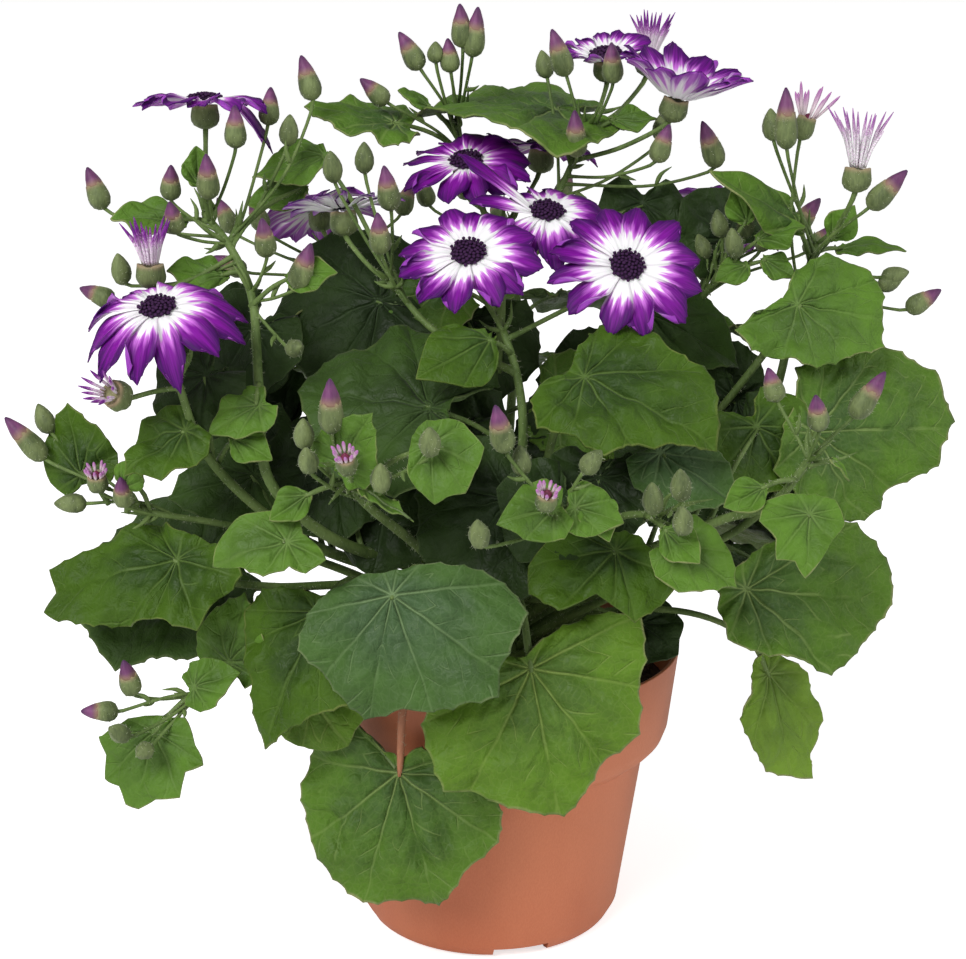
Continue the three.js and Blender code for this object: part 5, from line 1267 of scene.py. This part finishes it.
CUP_MODEL = turned_model("cup_form", 18, [
    (0.26, 0.0), (0.42, 0.03), (0.78, 0.14), (0.97, 0.32), (1.0, 0.5), (0.95, 0.7), (0.9, 0.86),
    (0.88, 0.97), (0.74, 0.985), (0.7, 0.9), (0.3, 0.86)], slim=0.9, dip=0.07, brim=0.92)
BUD_MODEL = turned_model("bud_form", 14, [
    (0.24, 0.0), (0.42, 0.03), (0.78, 0.14), (0.98, 0.34), (1.0, 0.52), (0.93, 0.72), (0.83, 0.9),
    (0.79, 1.0), (0.66, 1.0), (0.3, 0.9)], slim=0.92, dip=0.12, brim=0.95)
CLOSED_MODEL = turned_model("closed_bud_form", 14, [
    (0.24, 0.0), (0.42, 0.03), (0.8, 0.13), (1.0, 0.32), (0.98, 0.5), (0.8, 0.68), (0.52, 0.84),
    (0.26, 0.95), (0.08, 1.0)], slim=0.9, turn=0.04, ripeness=0.72)
TIP_SIDES = 12
TIP_FOLD = 0.13                  # how far every second side of a bud's tip is drawn in
TIP_MODEL = turned_model("bud_tip_form", TIP_SIDES, [
    (0.7, 0.0), (0.8, 0.16), (0.76, 0.3), (0.62, 0.5), (0.44, 0.7), (0.27, 0.88), (0.09, 1.0)],
    turn=0.14)
columns = np.arange(len(TIP_MODEL["points"])) % TIP_SIDES % 2
TIP_MODEL["points"][:, :2] *= (1 - TIP_FOLD * columns)[:, None]
QUILL_MODEL = turned_model("quill_form", 5, [
    (0.5, 0.0), (0.8, 0.35), (1.0, 0.7), (0.7, 0.9), (0.2, 1.0)])
QUILL_RING = 11


def ripening(name, roughness, colours, relief=0.0, **constants):
    """A skin whose colour changes from foot to tip. Each colour takes over from the one before
    between two degrees of ripeness, and one that is given as a dict is mottled."""
    material, tree, shader = surface(name, roughness, **constants)
    ripe, = marks_of(tree, "ripe")
    colour, height = None, None
    for low, high, own in colours:
        if isinstance(own, dict):
            effect = node(tree, "Group", own, node_tree=MOTTLE).outputs
            own, height = effect["Color"], effect["Height"]
        colour = own if colour is None else between(tree, ramp(tree, ripe, low, high), colour, own)
    coloured(tree, shader, colour, height if relief else None, relief)
    return material


# Bracts are green with a pale brim, and the ripest buds show mauve at the very top.
bract_skin = ripening("bract_skin", 0.65, [
    (0, 0, {"Dark": srgb(66, 80, 38), "Light": srgb(116, 130, 78), "Patches": 260.0,
            "Grain": 1800.0, "Stretch": 0.3}),
    (0.72, 1.05, srgb(156, 134, 104))], relief=0.0002, Sheen_Weight=0.08)
bud_tip_skin = ripening("bud_tip", 0.6, [
    (0, 0, srgb(142, 112, 92)),
    (0.1, 0.5, {"Dark": srgb(80, 30, 76), "Light": srgb(124, 64, 112), "Patches": 300.0,
                "Grain": 1600.0, "Stretch": 0.2}),
    (0.6, 1.0, srgb(74, 26, 78))], Sheen_Weight=0.1)
open_middle_skin = mottled("open_bud_middle", srgb(70, 12, 34), srgb(128, 34, 74), patches=420,
                           grain=1800, relief=0.0002, roughness=0.6)
short_quill_skin = ripening("short_quill", 0.55, [
    (0, 0, srgb(226, 206, 214)), (0.3, 0.9, srgb(176, 112, 172))])


def frame_along(origin, axis):
    """The frame of a bud or a flower: z along its axis."""
    side = Vector((1, 0, 0)) if abs(axis.z) > 0.9 * axis.length else Vector((0, 0, 1))
    return frame_at(origin, side.cross(axis), axis)


def places_down(curve, fork, count):
    """Where side stalks leave a stem, one below the other."""
    nearest = min(range(len(curve)), key=lambda i: (curve[i] - fork).length)
    length = sum((b - a).length for a, b in zip(curve, curve[1:]))
    step = STALK_SPACING / length * (len(curve) - 1)
    places = []
    for n in range(count):
        at = max(nearest - n * step, 0)
        low = min(int(at), len(curve) - 2)
        places.append(curve[low].lerp(curve[low + 1], at - low))
    return places


def side_stalk(start, end, axis, radius, end_radius):
    """A thin stalk that leaves its stem upwards and ends in line with what it carries."""
    bend_at, sag, rise = STALK_BEND
    span = (end - start).length
    bend = start.lerp(end, bend_at) - axis * sag * span + Vector((0, 0, rise * span))
    path = smooth_path([start, bend, end, end + axis * 0.0006], 12)
    radii = [1.5 * radius, 1.15 * radius, *[radius] * 9, (radius + end_radius) / 2, end_radius]
    return list(zip(path, radii))


def bractlet(start, along, dice, longest):
    """A narrow curved bract that stands out from a stalk."""
    side = along.cross(any_way(dice)).normalized()
    long = dice.uniform(0.5, 1.0) * longest
    path = smooth_path([start, start + side * long * 0.5 + along * long * 0.35,
                        start + side * long * 0.75 + along * long * dice.uniform(0.5, 1.0)], 6)
    return list(zip(path, BRACTLET))


def opening_models(here, radius, top, foot):
    """The dark middle of a bud that has just opened, in a ring of short pale quills."""
    dice = random.Random(str(foot))
    share, tall = OPEN_MIDDLE
    middle = Matrix.Translation((0, 0, top * 0.86)) @ sized(radius * share, tall)
    models = [copied(TIP_MODEL, here @ middle, finish=1)]
    long = OPENING[foot]
    for number in range(QUILL_RING):
        turn = 2 * math.pi * (number + dice.uniform(-0.25, 0.25)) / QUILL_RING
        lean = Matrix.Rotation(turn, 4, "Z") @ Matrix.Rotation(dice.uniform(0.2, 0.55), 4, "Y")
        start = Matrix.Translation(around(turn, share * radius, top * 0.88))
        shape = sized(SHORT_QUILL, long * dice.uniform(0.75, 1.1))
        models.append(copied(QUILL_MODEL, here @ start @ lean @ shape, finish=2))
    return models


def bud_models(foot, tip):
    """A bud's green bracts, and the mauve tip of one that is nearly ready to open."""
    length = (Vector(tip) - Vector(foot)).length
    radius = BUD_RADIUS * (0.6 + 0.4 * min(1, length / FULL_BUD))
    here = frame_along(Vector(foot), Vector(tip) - Vector(foot))
    if length < SHORT_BUD and foot not in OPENING:
        return [copied(CLOSED_MODEL, here @ sized(radius, length))], []
    green = here @ sized(radius, BUD_GREEN * length)
    if foot in OPENING:
        return [copied(CUP_MODEL, green)], opening_models(here, radius, BUD_GREEN * length, foot)
    low = (BUD_GREEN - BUD_TIP_SUNK) * length
    mauve = here @ Matrix.Translation((0, 0, low)) @ sized(radius, length - low)
    return [copied(BUD_MODEL, green)], [copied(TIP_MODEL, mauve)]


STEM_SECTION = stalk_section("stem_section", 14, 7)
OPEN = {**FLOWERS, **QUILLED}
for stem in STEMS:
    name = stem["name"]
    main = smooth_path([in_crown(stem["path"][0], stem["root"]), *stem["path"]], 60)
    runs = [tapered(main, STEM, (1.25,))]
    greens, mauves = [], []
    dice = random.Random(name)
    longest, longest_on_stalk = BRACTLET_LENGTHS
    for line, heads in stem["sprays"]:
        curve, fork = main, Vector(line[0])
        if len(line) > 1:
            curve = smooth_path(line, 24)
            fork = curve[-1]
            runs.append(tapered(curve, BRANCH, (1.3,)))
        for _ in range(3):
            runs.append(bractlet(fork, (curve[-1] - curve[-3]).normalized(), dice, longest))
        for place, head in zip(places_down(curve, fork, len(heads)), heads):
            if head in OPEN:
                axis = Vector(OPEN[head]["axis"]).normalized()
                seat = Vector(OPEN[head]["at"]) - axis * (FLOWER_GAP + CUP_LENGTH)
                runs.append(side_stalk(place, seat, axis, CUP_STALK, CUP_STALK * 1.2))
                cup = frame_along(seat, axis) @ sized(CUP_RADIUS, CUP_LENGTH)
                greens.append(copied(CUP_MODEL, cup))
                continue
            foot, tip = head
            axis = (Vector(tip) - Vector(foot)).normalized()
            runs.append(side_stalk(place, Vector(foot), axis, BUD_STALK, BUD_STALK * 1.15))
            spot, after = runs[-1][dice.choice((2, 5, 7))][0], runs[-1][9][0]
            runs.append(bractlet(spot, (after - spot).normalized(), dice, longest_on_stalk))
            green, mauve = bud_models(foot, tip)
            greens += green
            mauves += mauve
    leaves = []
    for number, leaf in enumerate(stem["leaves"]):
        long = (Vector(leaf["tip"]) - Vector(leaf["at"])).length
        tone = leaf.get("tone", "young" if long < YOUNG_LEAF else "green")
        blade, join = leaf_blade(f"{name}_leaf_{number}", leaf, LEAF_SKINS[tone], rings=12)
        leaves.append(blade)
        below = Vector(leaf["at"]) - Vector((0, 0, STALK_DROP))
        start = Vector(leaf["start"] or min(main, key=lambda p: (p - below).length))
        middle = start.lerp(join, 0.5) + Vector((0, 0, 0.06)) * (join - start).length
        runs.append(list(zip(smooth_path([start, middle, join], 8), SMALL_LEAF_STALK)))
    stalks = sweep(name + "_stalks", runs, STEM_SECTION, stem_skin)
    growth = [stalks, fuzz(name + "_stalk_hairs", stalks, STEM_HAIRS)]
    if greens:
        cups = assembled(name + "_cups", greens, [bract_skin])
        growth += [fuzz(name + "_cup_hairs", cups, BUD_HAIRS * len(greens)), cups]
    growth_piece = joined(name + "_growth", *growth)
    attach(growth_piece, "root")
    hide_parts(name)
    foliage = joined(name + "_leaves", *leaves)
    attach(foliage, "root")
    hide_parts(name)
    if mauves:
        tips = assembled(name + "_bud_tips", mauves,
                         [bud_tip_skin, open_middle_skin, short_quill_skin])
        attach(tips, "root")
        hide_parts(name)

# ---------------------------------------------------------------- ray petals
# The petals of an open flower: a ring of thin strap-shaped rays with blunt, notched tips,
# white at the foot and violet outside, pale underneath, each over one neighbour's edge.

PETALS = 12
PETAL_WIDTH = 0.0104
PETAL_THICKNESS = 0.0004
PETAL_FOOT = 0.0034              # from the flower's middle
PETAL_ROOT = 0.0052              # where the fall and rise of a petal start
PETAL_TILE = 0.2                 # sideways tilt of each ray
PETAL_UNEVEN = 0.09              # share by which the rays differ in length
PETAL_ACROSS = 10
PETAL_ALONG = 18
PETAL_RIDGE = 0.00022            # height of the folds along a ray
PETAL_RIPPLE = 0.0007
PETAL_NOTCH = 0.016              # depth of the notches in its tip, as a share of its length
PALE_FLOWERS = {"flower_pale"}
PETAL_HABITS = {                 # how much nearer the eye the violet starts, the width of the
    "flower_left": (0.05, 1.0, {}),      # rays, and the rise, fall and length of any odd ones
    "flower_middle": (0.04, 1.0, {5: (0.6, 0.1, 1.38), 6: (0.4, 0.2, 1.15)}),
    "flower_upper_middle": (0.2, 1.0, {}),
    "flower_rear_middle": (0.16, 0.95, {}),
    "flower_top_left": (0.1, 1.0, {3: (0.1, 1.0, 1.0), 4: (0.1, 0.9, 1.0)}),
    "flower_pale": (0.0, 0.42, {}),
    "flower_top": (-0.1, 0.62, {}),
    "flower_top_right": (-0.06, 1.08, {}),
}

bpy.ops.object.select_all(action="DESELECT")
bpy.ops.mesh.primitive_grid_add(x_subdivisions=PETAL_ALONG, y_subdivisions=PETAL_ACROSS, size=1)
PETAL_MODEL = model_of(bpy.context.object)


def petal(reach, lift, fall, angle, early, slim, dice):
    """One ray petal in its flower's frame, from its foot under the eye to its tip."""
    along = PETAL_MODEL["points"][:, 0] + 0.5
    across = PETAL_MODEL["points"][:, 1] * 2
    widest, blunt = dice.uniform(0.5, 0.66), dice.uniform(0.8, 1.0)
    width = np.interp(along, [0, 0.14, 0.34, widest, 0.82, 0.93, 1],
                      [0.26, 0.4, 0.72, 1.0, 0.99, 0.86, 0.62 * blunt])
    half = PETAL_WIDTH / 2 * slim * dice.uniform(0.88, 1.08) * width
    notch = PETAL_NOTCH * np.cos(across * 3 * np.pi) * along ** 8
    length = (reach - PETAL_FOOT) * dice.uniform(1.04 - PETAL_UNEVEN, 1.04)
    s = along * (1 - 0.14 * across ** 2 * along ** 3) + notch
    root_share = (PETAL_ROOT - PETAL_FOOT) / length
    rise = np.maximum(0, (s - root_share) / (1 - root_share))
    run = reach - PETAL_ROOT
    tip_turn = dice.uniform(-0.12, 0.06)
    x = PETAL_FOOT + s * length
    z = run * (lift * rise - fall * rise ** 2 + tip_turn * rise ** 4)
    side = dice.choice((-1, 1))
    rolled = dice.choice((0, 0, 1)) * dice.uniform(2.4, 3.6)
    roll = rolled * np.clip((across * side - 0.45) / 0.55, 0, 1) * np.clip((s - 0.4) * 2.5, 0, 1)
    tilt = (dice.uniform(-0.1, 0.5) * across + side * roll).reshape(PETAL_ACROSS + 1, -1)
    middle = (tilt[1:] + tilt[:-1]) / 2
    sideways, upward = (
        np.vstack([0 * tilt[:1], np.cumsum(part(middle) * 2 / PETAL_ACROSS, axis=0)])
        for part in (np.cos, np.sin))
    y = half * (sideways - sideways[PETAL_ACROSS // 2]).ravel()
    ridge = -PETAL_RIDGE * np.cos(across * 2 * np.pi) * np.minimum(1, s * 3)
    up = half * (upward - upward[PETAL_ACROSS // 2]).ravel() + ridge
    ripple = PETAL_RIPPLE * np.sin(9 * s + dice.uniform(0, 6)) * across * s
    twist = dice.gauss(0, 0.14) * s
    tile = PETAL_TILE + twist
    y, up = y - up * tile, up + y * tile + ripple
    yaw = angle + dice.gauss(0, 0.05)
    turned = np.column_stack([x * math.cos(yaw) - y * math.sin(yaw),
                              x * math.sin(yaw) + y * math.cos(yaw), z + up])
    return dict(points=turned, faces=PETAL_MODEL["faces"], finish=PETAL_MODEL["finish"],
                marks={"along": s, "across": across,
                       "shift": np.full(len(s), early + dice.uniform(-0.06, 0.06))})


def petal_effect():
    """Colour that runs out from a white foot into violet in streaks along the petal's veins."""
    white = (1, 1, 1, 1)
    tree, given, out = new_group(
        "petal_tint", {"Foot": white, "Blush": white, "Violet": white, "Deep": white,
                       "Break": 0.5, "Stripes": 0.07}, ["Color", "Height"])
    along, across, shift = marks_of(tree, "along", "across", "shift")
    spot = node(tree, "CombineXYZ", {
        0: reckon(tree, "MULTIPLY", along, 1.6), 1: reckon(tree, "MULTIPLY", across, 5.0),
        2: reckon(tree, "MULTIPLY", shift, 90.0)}).outputs[0]
    streak = noise(tree, spot, 1.6, 3.0)
    wave = reckon(tree, "COSINE", reckon(tree, "MULTIPLY", across, 9.4))
    front = reckon(tree, "ADD", reckon(tree, "MULTIPLY_ADD", wave, given["Stripes"], along),
                   reckon(tree, "MULTIPLY_ADD", streak, 0.34, shift))
    shown = reckon(tree, "SUBTRACT", front, given["Break"])
    outer = reckon(tree, "MULTIPLY_ADD", reckon(tree, "ABSOLUTE", across), 0.4,
                   reckon(tree, "MULTIPLY_ADD", streak, 0.8, along))
    colour = between(tree, ramp(tree, shown, 0.04, 0.15), given["Foot"], given["Blush"])
    colour = between(tree, ramp(tree, shown, 0.12, 0.34), colour, given["Violet"])
    colour = between(tree, ramp(tree, outer, 0.95, 1.6), colour, given["Deep"])
    tree.links.new(colour, out.inputs["Color"])
    tree.links.new(reckon(tree, "ADD", streak, wave), out.inputs["Height"])
    return tree


PETAL_TINT = petal_effect()


def petal_finish(name, foot, blush, violet, deep, starts, stripes=0.07):
    """A petal's velvety skin, with its own colours from foot to tip."""
    material, tree, shader = surface(name, 0.55, Sheen_Weight=0.02, Sheen_Roughness=0.35,
                                     Specular_IOR_Level=0.18, Subsurface_Weight=0.5,
                                     Subsurface_Scale=0.001, Subsurface_Radius=(1.0, 0.8, 1.0))
    effect = node(tree, "Group", {"Foot": foot, "Blush": blush, "Violet": violet, "Deep": deep,
                                  "Break": starts, "Stripes": stripes},
                  node_tree=PETAL_TINT).outputs
    coloured(tree, shader, effect["Color"], effect["Height"], relief=0.0002, strength=0.6)
    return material


WHITE, BLUSH = srgb(252, 246, 253), srgb(206, 116, 220)
VIOLET, DEEP = srgb(129, 17, 151), srgb(64, 8, 90)
PETAL_TOP = petal_finish("petal_bicolour", WHITE, BLUSH, VIOLET, DEEP, 0.49)
PETAL_TOP_PALE = petal_finish("petal_pale", WHITE, BLUSH, VIOLET, DEEP, 1.0)
PETAL_UNDER = petal_finish("petal_underside", srgb(250, 242, 249), srgb(236, 204, 238),
                           srgb(194, 124, 208), srgb(146, 62, 172), 0.58, stripes=0.3)
PETAL_UNDER_PALE = petal_finish("petal_pale_underside", srgb(255, 252, 255), srgb(248, 232, 248),
                                srgb(214, 166, 226), srgb(150, 74, 180), 0.9, stripes=0.3)

for name, flower in FLOWERS.items():
    dice = random.Random(name + " rays")
    here = frame_along(Vector(flower["at"]), Vector(flower["axis"]))
    early, slim, own = PETAL_HABITS.get(name, (0.0, 1.0, {}))
    petals = []
    for i in range(PETALS):
        angle = math.radians(flower["turn"]) + 2 * math.pi * i / PETALS
        usual = (flower["lift"], flower["fall"] * dice.uniform(0.7, 1.4), 1.0)
        lift, fall, stretch = own.get(i, usual)
        one = petal(flower["reach"] * stretch, lift, fall, angle, early, slim, dice)
        petals.append(copied(one, here, finish=0))
    skins = [PETAL_TOP, PETAL_UNDER]
    if name in PALE_FLOWERS:
        skins = [PETAL_TOP_PALE, PETAL_UNDER_PALE]
    rays = assembled(name + "_petals", petals, skins)
    thin_wall(rays, PETAL_THICKNESS)
    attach(rays, "root")
    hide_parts(name + "_rays")

# ---------------------------------------------------------------- eyes
# The dark middle of an open flower: a low dome set with tiny tube florets in crossing
# spirals, which stand lower and lean further out towards the edge.

EYE_RADIUS = 0.0052
EYE_HEIGHT = 0.0027
EYE_GAP = 0.00015                # above the plane of the petals
FLORETS = 72
FLORET = (0.0013, 0.0017)        # width and length
FLORET_REACH = 0.93              # of the outer ones, as a share of the eye's radius
FLORET_SUNK = 0.0006
GOLDEN_ANGLE = math.radians(137.508)

eye_skin = ripening("eye_florets", 0.75, [
    (0, 0, {"Dark": srgb(30, 14, 36), "Light": srgb(46, 22, 54), "Patches": 500.0,
            "Grain": 2400.0, "Stretch": 1.0}),
    (0.55, 1.0, srgb(58, 28, 66))], relief=0.0001, Specular_IOR_Level=0.2)
FLORET_MODEL = turned_model("floret_form", 6, [
    (0.2, 0.0), (0.3, 0.55), (0.46, 0.75), (0.42, 0.9), (0.12, 1.0)])
DOME_MODEL = turned_model("dome_form", 24, [
    (0.9, 0.0), (1.0, 0.12), (0.94, 0.3), (0.7, 0.48), (0.35, 0.58), (0.08, 0.6)], ripeness=0.0)

for name, flower in FLOWERS.items():
    dice = random.Random(name + " eye")
    axis = Vector(flower["axis"]).normalized()
    here = frame_along(Vector(flower["at"]) + axis * EYE_GAP, axis)
    florets = [copied(DOME_MODEL, here @ sized(EYE_RADIUS, EYE_HEIGHT))]
    for number in range(FLORETS):
        share = math.sqrt((number + 0.5) / FLORETS)
        turn = number * GOLDEN_ANGLE
        lean = Matrix.Rotation(turn, 4, "Z") @ Matrix.Rotation(0.7 * share, 4, "Y")
        height = EYE_HEIGHT * 0.62 * (1 - 0.85 * share ** 3)
        place = Matrix.Translation(around(turn, EYE_RADIUS * FLORET_REACH * share,
                                          height - FLORET_SUNK))
        wide = FLORET[0] * dice.uniform(0.85, 1.1)
        tall = FLORET[1] * dice.uniform(0.75, 1.15) * (0.8 + 0.3 * share)
        florets.append(copied(FLORET_MODEL, here @ place @ lean @ sized(wide, tall)))
    eye = assembled(name + "_disc", florets, [eye_skin])
    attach(eye, "root")
    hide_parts(name + "_eye")

# ---------------------------------------------------------------- quilled flowers
# Flowers that are still opening: their few rays are rolled into thin quills that stand up
# out of the green cup, pale at the foot and mauve outside.

QUILLS = {"quilled_top": 30, "quilled_left": 20, "quilled_low_left": 12, "quilled_right": 20}
PALE_QUILLS = {"quilled_right"}
QUILL_THICK = 0.0005
QUILL_SPREAD = 0.34
QUILL_FOOT = (0.0022, -0.0012)   # from the flower's middle, and down in its cup
QUILL_RIM = 0.003                # how far from the middle a quill passes the cup's rim
QUILL_STRETCH = 1.05             # the longest, as a share of the flower's reach

quill_violet = petal_finish("quill_violet", srgb(242, 222, 240), srgb(216, 160, 220),
                            srgb(150, 62, 166), srgb(112, 38, 136), 0.5)
quill_pale = petal_finish("quill_pale", srgb(240, 228, 238), srgb(228, 196, 224),
                          srgb(200, 150, 200), srgb(160, 100, 170), 0.62)
QUILL_SECTION = stalk_section("quill_section", 6, 3)
for name, flower in QUILLED.items():
    count = QUILLS[name]
    dice = random.Random(name)
    here = frame_along(Vector(flower["at"]), Vector(flower["axis"]))
    reach = flower["reach"]
    runs = []
    for i in range(count):
        angle = 2 * math.pi * (i + dice.uniform(-0.3, 0.3)) / count
        out = around(angle, 1)
        tall = reach * QUILL_STRETCH * dice.choice((0.6, 0.75, 0.9, 1.0)) * dice.uniform(0.9, 1.0)
        lean = QUILL_SPREAD * dice.uniform(0.4, 1.6)
        ring, sunk = QUILL_FOOT
        middle, end = QUILL_RIM + 0.3 * lean * tall, QUILL_RIM + lean * tall
        path = smooth_path([here @ (out * ring + Vector((0, 0, sunk))),
                            here @ (out * middle + Vector((0, 0, tall * 0.5))),
                            here @ (out * end + Vector((0, 0, tall)))], 8)
        radii = [QUILL_THICK * r for r in (0.8, 0.9, 1.0, 1.0, 1.1, 1.2, 1.0, 0.7, 0.25)]
        runs.append(list(zip(path, radii)))
    quills = sweep(name + "_quills", runs, QUILL_SECTION,
                   quill_pale if name in PALE_QUILLS else quill_violet)
    inverse = np.array(here.inverted())
    local = points_of(quills) @ inverse[:3, :3].T + inverse[:3, 3]
    for mark, values in (("along", np.clip(local[:, 2] / (reach * QUILL_STRETCH), 0, 1)),
                         ("across", np.sin(local[:, 0] * 4000)), ("shift", 0 * local[:, 0])):
        set_mark(quills.data, mark, values)
    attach(quills, "root")
    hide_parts(name + "_rays")

for section in (STALK_SECTION, STEM_SECTION, QUILL_SECTION):
    bpy.data.objects.remove(section)
